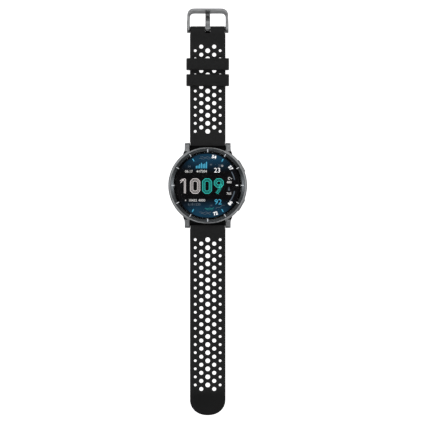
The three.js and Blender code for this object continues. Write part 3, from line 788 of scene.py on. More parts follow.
def keeperLoop(name, node, middle):
    # the wall's own section, a rounded rectangle, carried round the loop between its inner and outer lines
    k = keeperSizes
    outer = roundedLoop(k["half"], 0, k["top"], k["corner"])
    inner = roundedLoop(k["inner"], k["low"], k["high"], 0.55)
    wall = np.linalg.norm(outer - inner, axis=1)
    t = np.radians(np.concatenate([np.linspace(a, a + 90, 5) for a in (0, 90, 180, 270)]))
    signA, signB = np.repeat([1, -1, -1, 1], 5), np.repeat([1, 1, -1, -1], 5)
    share = 0.5 + signA * (0.5 - k["rim"] / wall[:, None]) + k["rim"] / wall[:, None] * np.cos(t)
    y = middle + signB * (k["length"] / 2 - k["rim"]) + k["rim"] * np.sin(t)
    plan = inner[:, None] + (outer - inner)[:, None] * share[..., None]
    points = np.stack([plan[..., 0], y + 0 * share, plan[..., 1]], -1)
    parts = [(points.reshape(-1, 3), [gridFaces(*points.shape[:2], True, True)])]
    settle(makePiece(name, parts, keeperRubberShadedRims), node, "strap_rubber", node)


keeperLoop("upperKeeperLoop", "upper_keeper", keeperSizes["upper"])
keeperLoop("lowerKeeperLoop", "lower_keeper", keeperSizes["lower"])
print("keepers")


buckleSizes = {"armHalf": 12.97, "armMiddle": 12.9, "cornerHalf": 12.55, "armInner": 11.04, "armY": 94.5,
               "bendY": 100.5, "innerY": 106.4, "outerY": 109.7, "outerBend": 4.9, "innerBend": 3.9, "barY": 96.4,
               "barZ": 2.5, "barBore": 0.55, "armEnd": 1.9, "low": 0.25, "high": 3.05, "fillet": 0.55}


def buckleLine(halves, y, bend):
    # the left arm's line from its end to the crossbar at y, then the same mirrored, with eased corners
    b = buckleSizes
    left = [[-half, stop] for half, stop in zip(halves, (b["armY"], b["bendY"], y))]
    right = [[-x, stop] for x, stop in left[::-1]]
    return eased([*left, [0, y], *right], [1, 1, bend, 1, bend, 1, 1], 24, closed=False)


def buckleFrame():
    # rounded sections carried from one arm's end, round the crossbar, to the other arm's end
    b = buckleSizes
    o = buckleLine((b["armHalf"], b["armMiddle"], b["cornerHalf"]), b["outerY"], b["outerBend"])
    i = buckleLine((b["armInner"],) * 3, b["innerY"], b["innerBend"])
    # more stations on the straight runs
    keep = np.arange(len(o))
    fine = np.linspace(0, len(o) - 1, 3 * len(o))
    o = np.stack([np.interp(fine, keep, o[:, k]) for k in (0, 1)], 1)
    i = np.stack([np.interp(fine, keep, i[:, k]) for k in (0, 1)], 1)
    mid = (o + i) / 2
    y = mid[:, 1]
    low = mixed(b["barZ"] - b["armEnd"], b["low"], shareOf(y, b["barY"], 106.0))
    high = mixed(b["barZ"] + b["armEnd"], b["high"], shareOf(y, b["barY"], 105.5))
    # round arm ends: the half height falls off as a circle past the bar
    dip = b["armEnd"] - np.sqrt(np.maximum(b["armEnd"] ** 2 - np.minimum(y - b["barY"], 0) ** 2, 0.3))
    low, high = low + dip, high - dip
    centre = np.stack([mid[:, 0], y, (low + high) / 2], 1)
    side = np.concatenate([(o - i) / 2, np.zeros((len(o), 1))], 1)
    up = np.stack([0 * y, 0 * y, (high - low) / 2], 1)
    piece = makePiece("buckleFrame", [loft(centre, side, up, b["fillet"], steps=4)], buckleMetal)
    ends = [cutterRod(b["barBore"], xs, b["barY"], b["barZ"]) for xs in ((-12.0, -10), (10, 12.0))]
    carve(piece, *ends, cutterBox((-1.6, 1.6), (106, 108.4), (2.5, 4), 0.4))
    settle(piece, "buckle", "buckle_metal", "buckle_frame")


tongueSizes = {"half": 1.45, "rim": 0.3, "wrap": 1.75, "bore": 0.95,
               "side": [[96.9, 4.2], [97.6, 4.08], [98.8, 3.83], [100.4, 3.5], [101.6, 3.32], [103.4, 3.24],
                        [104.9, 3.24], [106.0, 3.62], [107.6, 3.86], [108.1, 3.5], [108.1, 2.66], [106.4, 2.6],
                        [104.9, 2.1], [103.0, 1.85], [99.8, 1.75], [98.2, 1.66]]}


def buckleTongue():
    # side view of the bent tongue, an arc round the bar and an eased line, pushed across and rounded at its rims
    b, t = buckleSizes, tongueSizes
    bend = np.vstack([arc(b["barY"], b["barZ"], t["wrap"], -30, -270, 30), eased(t["side"], 0.6, 5, closed=False)])
    piece = makePiece("buckleTongue", [slab(bend, -t["half"], t["half"], t["rim"], alongX, 4)], tongueShadedMetal)
    carve(piece, cutterRod(t["bore"], (-2, 2), b["barY"], b["barZ"]))
    settle(piece, "tongue", "buckle_metal", "buckle_tongue")


washerSizes = {"radius": 1.95, "bore": 0.8, "from": 10.8, "to": 11.02}


def barShadeWashers():
    # black washers on the bar, between the strap's end and the arms: painted shade filling the gap beside the strap's
    # end
    b, w = buckleSizes, washerSizes
    for name, side in (("leftBarShadeWasher", -1), ("rightBarShadeWasher", 1)):
        outline = circle(w["radius"], b["barY"], b["barZ"], 48)
        ring = slab(outline, *mirrored(side, w["from"], w["to"]), 0.05, alongX, 1)
        piece = makePiece(name, [ring], paintedShadeBlack)
        carve(piece, cutterRod(w["bore"], (-12, 12), b["barY"], b["barZ"]))
        settle(piece, "buckle", "black_polymer")


buckleFrame()
buckleTongue()
barShadeWashers()
print("buckle")


headSizes = {"frame": 24.35, "flat": 22.15, "bandFlat": 21.1, "bezel": 23.55, "buttonZ": 7.9, "buttonTurn": 30.0,
             "pocket": (8.9, 3.0), "cap": (8.4, 2.5), "capOut": 0.5, "stem": 0.8}
slopeFoot, slopeTop, slopeHollow = (20.78, 11.25), (22.7, 12.08), 0.93


def flattenedRing(profile, flat, sides=480):
    # a turned profile whose radius is held back to flat / |sin a|, the straight ends at 12 and 6 o'clock
    r, z = np.asarray(profile, dtype=float).T
    a = np.linspace(0, 2 * np.pi, sides, endpoint=False)[:, None]
    limit = flat / np.maximum(np.abs(np.sin(a)), 1e-6)
    rr = np.minimum(r, limit)
    points = np.stack([rr * np.cos(a), rr * np.sin(a), z + 0 * a], -1)
    return points.reshape(-1, 3), [gridFaces(sides, len(r), True, True)]


lugSizes = {"gap": 11.2, "root": 18.8, "start": 21.1, "end": 26.4, "bore": 0.6, "rim": 0.32,
            "y": [18.8, 19.8, 20.6, 21.1, 21.3, 21.9, 22.7, 23.4, 24.4, 25.2, 25.7, 26.05, 26.25, 26.36, 26.4],
            "top": [9.3, 9.3, 9.2, 8.15, 8.12, 8.0, 7.8, 7.76, 7.68, 7.5, 7.2, 6.75, 6.3, 5.8, 5.3],
            "low": [3.0, 2.75, 2.5, 2.46, 2.45, 2.42, 2.4, 2.38, 2.35, 2.5, 2.72, 3.05, 3.4, 3.8, 4.15],
            "outerY": [18.8, 20.2, 21.2, 22.2, 26.4], "outer": [15.3, 14.95, 14.5, 14.22, 14.2]}


def lugLoft(start, end):
    # sections across one lug, carried outwards along Y; the stations crowd towards the end as 1 - (1 - t)^1.4
    g = lugSizes
    outer = np.interp(g["y"], g["outerY"], g["outer"])
    along = np.linspace(start, end, 60)
    along = start + (end - start) * (1 - (1 - (along - start) / (end - start)) ** 1.4)
    top, low, outer = [np.interp(along, g["y"], k) for k in (g["top"], g["low"], outer)]
    inner = g["gap"] + 0 * along
    centre = np.stack([(inner + outer) / 2, along, (top + low) / 2], 1)
    side = np.stack([(outer - inner) / 2, 0 * along, 0 * along], 1)
    up = np.stack([0 * along, 0 * along, (top - low) / 2], 1)
    return loft(centre, side, up, g["rim"], steps=4)


def pillOutline(length, height, steps=16):
    # two half circles, height across, joined to the given length
    reach = (length - height) / 2
    right = arc(reach, 0, height / 2, -90, 90, steps)
    return np.vstack([right, -right])


def aroundRing(turn, radius, z):
    # a flat drawing laid on the case's side: first across the ring, then up, then outwards
    def place(u, v, w):
        return np.stack([*swung(w + np.sqrt(radius ** 2 - u ** 2) - radius, u, turn), v + z], -1)
    return place


def metalFrame():
    h, g, s = headSizes, lugSizes, strapSizes
    band = eased([[20.6, 6.05], [24.1, 6.05], [h["frame"], 6.35], [h["frame"], 9.35], [24.1, 9.75], [20.6, 9.75]],
                 0.2, 3)
    piece = makePiece("metalFrame", [flattenedRing(band, h["bandFlat"])], frameMetal)
    carve(piece, *[cutterOf(pillOutline(*h["pocket"]), 22.95, 25.5, aroundRing(turn, h["frame"], h["buttonZ"]))
                   for turn in (h["buttonTurn"], -h["buttonTurn"])])
    settle(piece, "watch_head", "frame_metal", "metal_frame")
    # each lug: metal with its bevel, and a black root that runs in under the bezel, its black a painted shade for the
    # groove under the bezel
    metalPart, shadeRootPart = lugLoft(g["start"], g["end"]), lugLoft(g["root"], g["start"] + 0.05)
    for k, (sx, sy) in enumerate([(1, 1), (-1, 1), (-1, -1), (1, -1)]):
        lug = makePiece(f"lug{k + 1}", [(metalPart[0] * [sx, sy, 1], metalPart[1])], frameMetal)
        carve(lug, cutterRod(g["bore"], mirrored(sx, 11.0, 12.5), sy * s["barY"], s["barZ"]))
        settle(lug, "watch_head", "frame_metal", "metal_frame")
        root = makePiece(f"lugShadeRoot{k + 1}", [(shadeRootPart[0] * [sx, sy, 0.985], shadeRootPart[1])], paintedShadeBlack)
        settle(root, "watch_head", "black_polymer", "metal_frame")


wallSizes = {"half": 11.12, "reach": (2.32, 2.62), "core": 20.85, "linerFrom": 10.86, "linerTo": 11.22,
             "foot": [[20.8, 2.7], [21.9, 2.7], [22.15, 2.95]],
             "lip": [[24.5, 7.1], [24.0, 7.25], [23.3, 7.6], [22.7, 9.2], [22.3, 9.6], [20.8, 9.6]],
             "liner": [[22.2, 3.1], [25.6, 3.1], [26.1, 3.9], [26.1, 5.4], [25.4, 6.6], [24.2, 6.95], [22.2, 6.95]]}


def shadeEndWalls():
    # the black wall between each pair of lugs, with a lip that follows the strap's rounded end at a small distance;
    # its near black is painted shade where the strap's end meets the case
    w, s = wallSizes, strapSizes
    t = np.radians(np.linspace(180, 90, 19))
    reach = np.linspace(*w["reach"], 19)
    scoop = np.stack([s["barY"] + reach * np.cos(t), s["barZ"] + reach * np.sin(t)], 1)
    section = np.vstack([w["foot"], scoop, w["lip"]])
    liner = eased(w["liner"], 0.5, 3)
    for name, sign in (("upperShadeEndWall", 1), ("lowerShadeEndWall", -1)):
        points, faces = slab(section, -w["half"], w["half"], 0.05, alongX, 1)
        wall = makePiece(name, [(points * [1, sign, 1], faces)], paintedShadeBlack)
        carve(wall, cutterOf(circle(w["core"], 0, 0, 160), 0, 12))
        settle(wall, "watch_head", "black_polymer", "lower_case")
        # thin black liners between the strap's end and the lugs, painted shade filling the gaps
        for hand, side in (("Right", 1), ("Left", -1)):
            plate = slab(liner * [sign, 1], *mirrored(side, w["linerFrom"], w["linerTo"]), 0.06, alongX, 1)
            settle(makePiece(f"{name}ShadeLiner{hand}", [plate], paintedShadeBlack), "watch_head", "black_polymer", "lower_case")


def bezelRing():
    # a turned section: foot, outer wall, rim, then the slope down to the glass
    b = headSizes["bezel"]
    slope = [[r, slopeHeight(r)] for r in (22.4, 22.1, 21.8, 21.5, 21.2)]
    profile = eased([[19.45, 9.8], [23.35, 9.8], [b, 10.05], [b, 11.75], [23.25, 12.2], [22.82, 12.2], slopeTop,
                     *slope, [21.08, slopeHeight(21.08)], [21.0, 10.2], [19.45, 10.15]],
                    [0.1, 0.1, 0.15, 0.22, 0.1, 0.06, 0.05, *[0.1] * 5, 0.03, 0.1, 0.1], 4)
    piece = makePiece("bezelRing", [turned(profile, 480)], bezelMetal)
    piece.data.materials.append(slopeMetal)
    centres = np.empty(len(piece.data.polygons) * 3)
    piece.data.polygons.foreach_get("center", centres)
    x, y, z = (centres.reshape(-1, 3) / toMetres).T
    onSlope = (np.hypot(x, y) < slopeTop[0]) & (z > 11.2)
    piece.data.polygons.foreach_set("material_index", onSlope.astype(np.int32))
    settle(piece, "watch_head", "bezel_metal", "bezel")
    # a black ring between the glass and the metal slope
    inner = eased([[20.5, 10.2], [21.04, 10.2], [21.04, slopeHeight(21.04)], [20.62, slopeHeight(20.62)],
                   [20.5, 10.95]], 0.08, 3)
    settle(makePiece("glassRing", [turned(inner, 360)], blackPrint), "watch_head", "bezel_metal")


def slopeHeight(radius):
    # height of the bezel's slope: foot + rise * share ** slopeHollow, where share runs from the foot to the top
    (r0, z0), (r1, z1) = slopeFoot, slopeTop
    return z0 + (z1 - z0) * np.clip((np.asarray(radius) - r0) / (r1 - r0), 0, 1) ** slopeHollow


markSizes = {"from": 20.5, "to": 22.25, "half": 0.24, "wideHalf": 0.3, "stations": 5}


def hourMarks():
    # twelve painted strips that lie in the slope, each following it from its foot to its rim; every third is wider
    parts = []
    for k in range(12):
        a = np.pi / 2 - k * np.pi / 6
        r = np.linspace(markSizes["from"], markSizes["to"], markSizes["stations"])
        z = slopeHeight(r) + 0.02
        along, across = np.array([math.cos(a), math.sin(a)]), np.array([-math.sin(a), math.cos(a)])
        half = markSizes["half"] if k % 3 else markSizes["wideHalf"]
        mid = np.concatenate([r[:, None] * along, z[:, None]], 1)
        side = np.tile([*(across * half), 0], (len(r), 1))
        up = np.tile([0.0, 0.0, 0.05], (len(r), 1))
        parts.append(loft(mid - up, side, up, 0.04, steps=2))
    settle(makePiece("hourMarks", parts, markPaint), "watch_head", "bezel_metal")


def buttonCap(name, turn, body):
    # a pill-shaped cap that follows the case's side, on a round stem
    h = headSizes
    top = h["frame"] + h["capOut"]
    cap = slab(pillOutline(*h["cap"]), 23.25, top, 0.28, aroundRing(turn, top, h["buttonZ"]), 4)
    stem = slab(circle(h["stem"], 0, h["buttonZ"], 32), 19.9, 23.6, 0.1,
                lambda u, v, w: np.stack([*swung(w, u, turn), v], -1), 2)
    settle(makePiece(name, [cap, stem], frameMetal), body, "frame_metal", f"{body}_cap")


metalFrame()
shadeEndWalls()
bezelRing()
hourMarks()
buttonCap("upperButtonCap", headSizes["buttonTurn"], "upper_button")
buttonCap("lowerButtonCap", -headSizes["buttonTurn"], "lower_button")
print("head metal")


def lowerCase():
    # a turned bowl with straight ends at 12 and 6 o'clock
    profile = eased([[20.4, 1.7], [21.2, 1.7], [22.6, 2.6], [23.2, 4.0], [23.2, 6.0], [18.3, 6.0], [18.3, 3.2],
                     [20.4, 3.2]], [0.1, 0.8, 1.0, 0.8, 0.2, 0.1, 0.1, 0.1], 6)
    shell = makePiece("lowerCaseShell", [flattenedRing(profile, headSizes["flat"])], polymer)
    settle(shell, "watch_head", "black_polymer", "lower_case")


backSizes = {"screwRadius": 17.3, "screwBore": 0.8, "headBore": 1.4, "head": 1.2, "shank": 0.6, "starOut": 0.62,
             "starIn": 0.42, "contactX": 2.5, "contactY": -17.4, "contactBore": 1.25, "contact": 1.05, "window": 12.6,
             "lenses": {"greenLens": (0, 0, 1.9), "redLens": (0, 5.9, 1.4), "leftLens": (-6.1, 0, 2.0),
                        "rightLens": (6.1, 0, 2.0)}}
screwPlaces = [(backSizes["screwRadius"] * math.cos(a), backSizes["screwRadius"] * math.sin(a))
               for a in [math.radians(45 + 90 * k) for k in range(4)]]


def backCover():
    # a turned plate, bored for the screws and the charging contacts
    b = backSizes
    profile = eased([[12.9, 0.35], [14.8, 0.35], [15.4, 1.5], [19.8, 1.5], [20.1, 1.8], [20.1, 2.9], [11.4, 2.9],
                     [11.4, 1.3], [12.9, 1.3]], [0.2, 0.4, 0.4, 0.2, 0.2, 0.1, 0.1, 0.1, 0.1], 4)
    piece = makePiece("backCoverPlate", [turned(profile, 256)], polymer)
    cutters = []
    for x, y in screwPlaces:
        cutters += [cutterOf(circle(b["headBore"], x, y), 1, 2.2), cutterOf(circle(b["screwBore"], x, y), 2.1, 3.2)]
    for x in (-b["contactX"], b["contactX"]):
        cutters.append(cutterOf(circle(b["contactBore"], x, b["contactY"]), 1, 3.2))
    carve(piece, *cutters)
    settle(piece, "watch_head", "black_polymer", "back_cover")


def caseScrews():
    # a head with a six-point socket on a plain shank
    b = backSizes
    for k, (x, y) in enumerate(screwPlaces):
        head = slab(circle(b["head"], x, y), 1.6, 2.15, 0.12, alongZ, 2)
        shank = slab(circle(b["shank"], x, y, 20), 2.1, 5.0, 0.1, alongZ, 1)
        piece = makePiece(f"caseScrew{k + 1}", [head, shank], hardware)
        star = np.array([[b["starOut"] if i % 2 else b["starIn"], i * np.pi / 6 + 0.2] for i in range(12)])
        star = np.stack([x + star[:, 0] * np.cos(star[:, 1]), y + star[:, 0] * np.sin(star[:, 1])], 1)
        carve(piece, cutterOf(eased(star, 0.12, 2), 1.4, 1.95))
        settle(piece, "watch_head", "hardware_steel", f"case_screw_{k + 1}")


def turnedDisc(corners, radii, steps, sides, centre=(0, 0)):
    # a closed turned disc: its profile starts and ends on the axis
    p = [[sliver, corners[0][1]], *corners[1:-1], [sliver, corners[-1][1]]]
    return turned(eased(p, radii, steps), sides, centre=centre)


def sensorWindow():
    b = backSizes
    w = b["window"]
    plate = turnedDisc([[0, 0], [12.0, 0], [w, 0.5], [w, 1.2], [0, 1.2]], [0, 0.5, 0.3, 0.1, 0], 5, 256)
    settle(makePiece("sensorWindow", [plate], smoked), "watch_head", "sensor_window", "sensor_window")
    # lens shapes printed inside the window, flush with its face
    for name, (x, y, radius) in b["lenses"].items():
        lens = turnedDisc([[0, -0.004], [radius, -0.004], [radius, 0.2], [0, 0.2]], [0, 0.05, 0.02, 0], 2, 64, (x, y))
        look, slotName = (emitterLens, "emitter") if name in ("greenLens", "redLens") else (receiverLens, "receiver")
        settle(makePiece(name, [lens], look), "watch_head", slotName)


def chargeContacts():
    b = backSizes
    c = b["contact"]
    for name, x in (("left", -b["contactX"]), ("right", b["contactX"])):
        pad = turnedDisc([[0, 1.42], [1.0, 1.46], [c, 1.6], [c, 3.1], [0, 3.1]], [0, 0.2, 0.1, 0.1, 0], 3, 48,
                         (x, b["contactY"]))
        settle(makePiece(f"{name}ChargePad", [pad], gold), "watch_head", "gold_contact", f"{name}_charge_contact")


lowerCase()
backCover()
caseScrews()
sensorWindow()
chargeContacts()
print("back")


displaySizes = {"panelLow": 9.65, "panelTop": 10.42, "panel": 20.0, "border": 19.9, "borderLow": 10.45,
                "borderTop": 10.49, "glass": 20.45, "glassLow": 10.5, "glassTop": 11.42,
                "blueFrom": 0.0075, "blueTo": 0.0165, "sideFrom": 0.006, "sideTo": 0.0165, "sideShare": 0.25}


def panelMaterial():
    # black in the middle, blue towards 12 and 6 o'clock, dark again at the sides
    d = displaySizes
    material, tree, shader = startMaterial("litPanel", Roughness=0.1, IOR=1.08, Emission_Strength=1.0,
                                           Base_Color=unlit)
    where = tree.nodes.new("ShaderNodeTexCoord").outputs["Object"]
    part = addNode(tree, "ShaderNodeSeparateXYZ", Vector=where).outputs
    upDown = easedShare(tree, mathNode(tree, "ABSOLUTE", part[1]), d["blueFrom"], d["blueTo"])
    aside = easedShare(tree, mathNode(tree, "ABSOLUTE", part[0]), d["sideFrom"], d["sideTo"], 1.0, d["sideShare"])
    wisps = addNode(tree, "ShaderNodeTexNoise", Vector=where, Scale=260.0, Detail=5.0)
    share = mathNode(tree, "MULTIPLY", mathNode(tree, "MULTIPLY", upDown, aside),
                     mathNode(tree, "ADD", mathNode(tree, "MULTIPLY", wisps.outputs["Fac"], 0.8), 0.6))
    dots = useGroup(tree, screenDots)
    lit = blendColor(tree, mathNode(tree, "MULTIPLY", share, dots["Light"]), linear(5, 4, 6), linear(20, 60, 84))
    tree.links.new(lit, shader.inputs["Emission Color"])
    return material


def glassMaterial():
    # clear, with a faint unevenness in its polish
    material, tree, shader = startMaterial("coverGlass", IOR=1.3, Transmission_Weight=1.0, Metallic=0.0)
    grain = useGroup(tree, fineGrain, Scale=1500.0, Uneven_Scale=60.0)
    tree.links.new(blendShare(tree, grain["Uneven"], 0.0, 0.03), shader.inputs["Roughness"])
    tree.links.new(blendColor(tree, grain["Uneven"], (0.97, 0.98, 1, 1), (1, 1, 1, 1)), shader.inputs["Base Color"])
    return material


def flatRibbon(path, width, z, closed=False):
    # a flat strip of constant width along a path
    p = np.asarray(path, dtype=float)
    along = np.roll(p, -1, 0) - np.roll(p, 1, 0) if closed else np.gradient(p, axis=0)
    along /= np.linalg.norm(along, axis=1, keepdims=True)
    across = np.stack([-along[:, 1], along[:, 0]], 1) * width / 2
    rows = np.stack([p + across, p - across], 1)
    points = np.concatenate([rows, np.full(rows.shape[:2] + (1,), z)], -1)
    return points.reshape(-1, 3), [gridFaces(len(p), 2, closed, False)]


def typed(text, size, x, y, bold=0.0, turn=0.0):
    # plain numerals from the built-in font, as flat triangles, thickened by bold
    curve = bpy.data.curves.new("numerals", "FONT")
    curve.body, curve.size, curve.align_x, curve.align_y = text, size, "CENTER", "CENTER"
    curve.resolution_u, curve.offset = 3, bold
    holder = bpy.data.objects.new("numerals", curve)
    bpy.context.scene.collection.objects.link(holder)
    bpy.context.view_layer.update()
    mesh = bpy.data.meshes.new_from_object(holder.evaluated_get(bpy.context.evaluated_depsgraph_get()))
    points = np.empty(len(mesh.vertices) * 3)
    mesh.vertices.foreach_get("co", points)
    points = points.reshape(-1, 3)
    faces = [list(p.vertices) for p in mesh.polygons]
    bpy.data.objects.remove(holder)
    bpy.data.curves.remove(curve)
    bpy.data.meshes.remove(mesh)
    px, py = swung(points[:, 0], points[:, 1], turn)
    return np.stack([x + px, y + py, 0 * px], 1), faces


def box2d(x, y, width, height, turn=0.0):
    # a flat rectangle, turned about its middle
    px, py = swung(np.array([-1, 1, 1, -1]) * width / 2, np.array([-1, -1, 1, 1]) * height / 2, turn)
    return np.stack([x + px, y + py, 0 * px], 1), [[0, 1, 2, 3]]


def onRing(clock, radius):
    # a place on the dial from its clock angle in degrees
    a = math.radians(90 - clock)
    return radius * math.cos(a), radius * math.sin(a)


def glyphPiece(name, parts, material, lift=0.012):
    # all flat parts at one height, every face turned up towards the glass
    lifted = [(np.asarray(p) * [1, 1, 0] + [0, 0, displaySizes["panelTop"] + lift], f) for p, f in parts]
    piece = makePiece(name, lifted, material, merge=0.0005)
    bm = bmesh.new()
    bm.from_mesh(piece.data)
    bmesh.ops.reverse_faces(bm, faces=[f for f in bm.faces if f.normal.z < 0])
    bm.to_mesh(piece.data)
    bm.free()
    settle(piece, "watch_head", "display")


numeralSizes = {"low": -5.1, "high": 4.35, "line": 0.38, "middleLine": 0.22, "first": 0.19, "step": 0.74,
                "corner": 1.7, "half": 3.1, "oneX": -13.65, "hourZeroX": -7.72, "minuteZeroX": -0.38, "nineX": 6.85,
                "nineLow": -1.35}


def octagonLines(cx, half, low, high, corner):
    # three lines, one inside the other, round a tall octagon; a corner cut shrinks by inset (2 - sqrt 2)
    n = numeralSizes
    lines = []
    for k in range(3):
        inset = n["first"] + k * n["step"]
        c = max(corner - inset * 0.59, 0.3)
        x0, x1, y0, y1 = cx - half + inset, cx + half - inset, low + inset, high - inset
        c = min(c, (y1 - y0) * 0.45)
        path = [[x0 + c, y0], [x1 - c, y0], [x1, y0 + c], [x1, y1 - c],
                [x1 - c, y1], [x0 + c, y1], [x0, y1 - c], [x0, y0 + c]]
        lines.append(flatRibbon(eased(path, 0.35, 3), n["middleLine"] if k == 1 else n["line"], 0, True))
    return lines


def bigNumerals():
    # the time in striped numerals: grey hours, teal minutes
    n = numeralSizes
    greys = octagonLines(n["hourZeroX"], n["half"], n["low"], n["high"], n["corner"])
    teals = octagonLines(n["minuteZeroX"], n["half"] - 0.1, n["low"], n["high"], n["corner"])
    for k in range(2):
        x, top = n["oneX"] - k * n["step"], n["high"] - n["first"] - k * 0.9
        path = [[x, n["low"] + 0.2], [x, top - 0.35], [x - 0.5, top], [x - 1.2, top - 0.35], [x - 2.45, top - 1.75]]
        greys.append(flatRibbon(eased(path, 0.4, 3, False), n["line"], 0))
    greys.append(flatRibbon([[n["oneX"] - 1.5, n["high"] - 0.35], [n["oneX"] - 3.35, n["high"] - 1.5]], n["line"], 0))
    nine = octagonLines(n["nineX"], n["half"] - 0.12, n["nineLow"], n["high"], n["corner"])
    for k in range(8):
        # the leg: short stripes stepped down to the left
        nine.append(box2d(8.65 - k * 0.4, 0.3 - k * 0.72, 2.0, 0.3, -28))
    glyphPiece("hourNumerals", greys, glowMaterial("litGrey", (232, 224, 222), 1.15))
    glyphPiece("minuteNumerals", teals + nine, glowMaterial("litTeal", (56, 208, 194), 1.1))


def wavyLine(start, end, y, swing, pitch, width, rise=0.0):
    # a ribbon that swings as a sine while it goes from start to end
    x = np.linspace(start, end, 50)
    return flatRibbon(np.stack([x, y + rise * (x - start) + swing * np.sin((x - start) * pitch)], 1), width, 0)


# flat items as they are drawn: numerals (text, size, x, y, bold), rectangles (x, y, width, height, turn)
topWhite = [("7204", 2.15, -2.6, 8.65, 0.045), (-6.3, 8.65, 1.0, 1.0, 45), (-5.2, 8.65, 0.4, 1.2),
            ("06.17", 2.15, -11.6, 8.6, 0.035)]
rightWhite = [("480", 2.0, 13.2, 1.95, 0.05), ("765", 2.0, 13.1, -5.05, 0.03)]
lowWhite = [(14.6, 4.2, 0.8, 0.4, 30), ("10432", 2.1, -9.2, -9.25, 0.03), ("4000", 2.1, -3.6, -9.25, 0.03),
            (-13.6, -9.2, 0.5, 0.8)]
dimItems = [("14", 1.9, -11.4, 11.6, 0.04), ("2.8", 1.7, 7.6, 12.2, 0.05), (2.0, 12.8, 1.0, 1.0, 45),
            (13.1, -2.6, 1.2, 1.2), (13.1, -1.5, 0.5, 1.0), ("6.18", 2.0, -10.5, -11.75, 0.04),
            ("1220", 2.0, -6.4, -11.75, 0.04), ("14", 1.8, 2.0, -12.4)]
ringNumbers = [(12.6, 17.9, "54"), (52.5, 17.7, "57"), (128, 17.7, "86"), (164.3, 18.0, "72")]
stepBars = [1.5, 1.7, 2.5, 3.3, 2.6, 2.9, 4.0]


def drawn(items):
    return [typed(*item) if isinstance(item[0], str) else box2d(*item) for item in items]


def smallItems():
    # ring of turned numbers and dashes near the border, and the heart rate beside the step bars
    bright = [typed(text, 2.75, *onRing(clock, radius), 0.09, -clock if clock < 90 else 180 - clock)
              for clock, radius, text in ringNumbers]
    bright += drawn([(18.0, 0.05, 1.5, 0.5), ("23", 4.1, 5.9, 9.2)])
    blue = [box2d(*onRing(clock, 17.95), 1.75, 0.55, 90 - clock) for clock in (-29.5, 30.5, 149.5, 210.5)]
    blue += [box2d(-6.95 + k * 1.04, 10.55 + h / 2, 0.62, h) for k, h in enumerate(stepBars)]
    blue += drawn([("92", 4.6, 6.4, -10.3)])
    white = drawn(topWhite) + [flatRibbon(circle(0.42, 9.0, 12.1, 12), 0.28, 0, True)] + drawn(rightWhite)
    white += [flatRibbon(arc(13.3, 4.3, 0.65, 20, 300, 20), 0.42, 0)] + drawn(lowWhite)
    teal = [wavyLine(-1.8, 3.9, -14.3, 0.22, 2.6, 0.32, 0.05), wavyLine(-1.0, 3.4, -15.0, 0.15, 3.1, 0.2)]
    dim = drawn(dimItems) + [wavyLine(4.9, 10.4, -14.2, 0.3, 1.9, 0.26, 0.4)]
    for low, high in ((60, 78), (102, 124)):
        # dim arcs that follow the right border
        dim.append(flatRibbon([onRing(c, 16.9) for c in np.linspace(low, high, 16)], 0.7, 0))
    for y, sign in ((16.5, 1), (-16.6, -1)):
        # small waves of light near the top and bottom borders
        dim += [wavyLine(-5.2 + k, 2.2 - k * 0.5, y + sign * k * 0.9, 0.3, 1.9, 0.26) for k in range(2)]
    for name, parts, finish, rgb, strength in (
            ("ringNumbers", bright, "litBright", (250, 250, 250), 1.5),
            ("whiteReadings", white, "litWhite", (228, 226, 224), 1.0),
            ("blueReadings", blue, "litBlue", (84, 190, 226), 1.05),
            ("dimReadings", dim, "litDim", (92, 102, 112), 1.0),
            ("tealLine", teal, "litLine", (44, 140, 136), 1.0)):
        glyphPiece(name, parts, glowMaterial(finish, rgb, strength))


def displayAndGlass():
    # turned discs for the panel and the glass, and a flat black ring between them
    d = displaySizes
    panel = turnedDisc([[0, d["panelLow"]], [d["panel"], d["panelLow"]], [d["panel"], d["panelTop"]],
                        [0, d["panelTop"]]], [0, 0.05, 0.05, 0], 2, 256)
    settle(makePiece("litPanel", [panel], panelMaterial()), "watch_head", "display", "display_panel")
    outside = d["glass"] - 0.02
    ring = turned([[d["border"], d["borderLow"]], [outside, d["borderLow"]], [outside, d["borderTop"]],
                   [d["border"], d["borderTop"]]], 256)
    settle(makePiece("blackBorder", [ring], blackPrint), "watch_head", "display")
    glass = turnedDisc([[0, d["glassLow"]], [d["glass"], d["glassLow"]], [d["glass"], d["glassTop"]],
                        [0, d["glassTop"]]], [0, 0.05, 0.08, 0], 4, 256)
    settle(makePiece("coverGlass", [glass], glassMaterial()), "watch_head", "cover_glass", "cover_glass")
    bigNumerals()
    smallItems()


displayAndGlass()
print("display")


stageSizes = {"floor": 6.0, "floorZ": -0.05, "floorGlow": 1.12, "world": 0.09}
# each softbox: place, aim and size in metres, and power
softboxes = {"leftSoftbox": ((-0.8, 0.0, 0.8), (0, 0, 0), (0.22, 1.5), 1.0),
             "rightSoftbox": ((0.8, 0.0, 0.8), (0, 0, 0), (0.22, 1.5), 1.1),
             "upperSoftbox": ((0.0, 0.55, 1.25), (0, 0, 0), (0.9, 0.35), 2.2),
             "lowerSoftbox": ((0.0, -0.6, 1.25), (0, -0.04, 0), (0.9, 0.35), 1.2)}


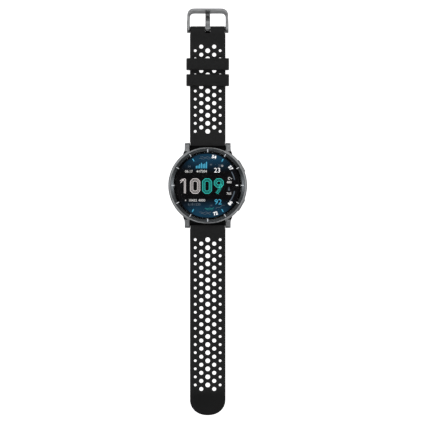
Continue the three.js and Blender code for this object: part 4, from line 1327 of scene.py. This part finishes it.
def makeStage():
    # a pale square floor just under the watch
    material, tree, shader = startMaterial("paleFloor", Roughness=0.9, Emission_Strength=stageSizes["floorGlow"])
    grain = useGroup(tree, fineGrain, Scale=40.0, Uneven_Scale=6.0)
    tone = blendColor(tree, grain["Uneven"], (0.9, 0.9, 0.9, 1), (0.94, 0.94, 0.94, 1))
    tree.links.new(tone, shader.inputs["Base Color"])
    tree.links.new(tone, shader.inputs["Emission Color"])
    half, z = stageSizes["floor"] / toMetres / 2, stageSizes["floorZ"]
    points = [[-half, -half, z], [half, -half, z], [half, half, z], [-half, half, z]]
    makePiece("floor", [(points, [[0, 1, 2, 3]])], material)


def makeLights():
    world = bpy.data.worlds.new("studio")
    bpy.context.scene.world = world
    world.use_nodes = True
    tree = world.node_tree
    path = tree.nodes.new("ShaderNodeLightPath")
    shade = blendColor(tree, path.outputs["Is Camera Ray"], (stageSizes["world"],) * 3 + (1,), (1, 1, 1, 1))
    tree.links.new(shade, tree.nodes["Background"].inputs["Color"])
    for name, (place, aim, size, power) in softboxes.items():
        light = bpy.data.lights.new(name, "AREA")
        light.shape, light.size, light.size_y, light.energy = "RECTANGLE", size[0], size[1], power
        holder = bpy.data.objects.new(name, light)
        bpy.context.scene.collection.objects.link(holder)
        holder.location = place
        holder.rotation_euler = (Vector(aim) - Vector(place)).to_track_quat("-Z", "Y").to_euler()


cameraSizes = {"lens": 250.0, "sensor": 36.0, "span": 265.7, "centreX": 4.51, "centreY": -18.23, "eyeZ": 6.0}


def makeCamera():
    # straight down, far enough for span to fill the frame: span * lens / sensor above eyeZ
    c = cameraSizes
    camera = bpy.data.cameras.new("camera")
    camera.lens, camera.sensor_width = c["lens"], c["sensor"]
    camera.clip_start, camera.clip_end = 0.05, 20.0
    holder = bpy.data.objects.new("camera", camera)
    bpy.context.scene.collection.objects.link(holder)
    away = c["span"] * c["lens"] / c["sensor"] + c["eyeZ"]
    holder.location = (c["centreX"] * toMetres, c["centreY"] * toMetres, away * toMetres)
    bpy.context.scene.camera = holder


makeStage()
makeLights()
makeCamera()
bpy.context.scene.view_settings.view_transform = "Standard"
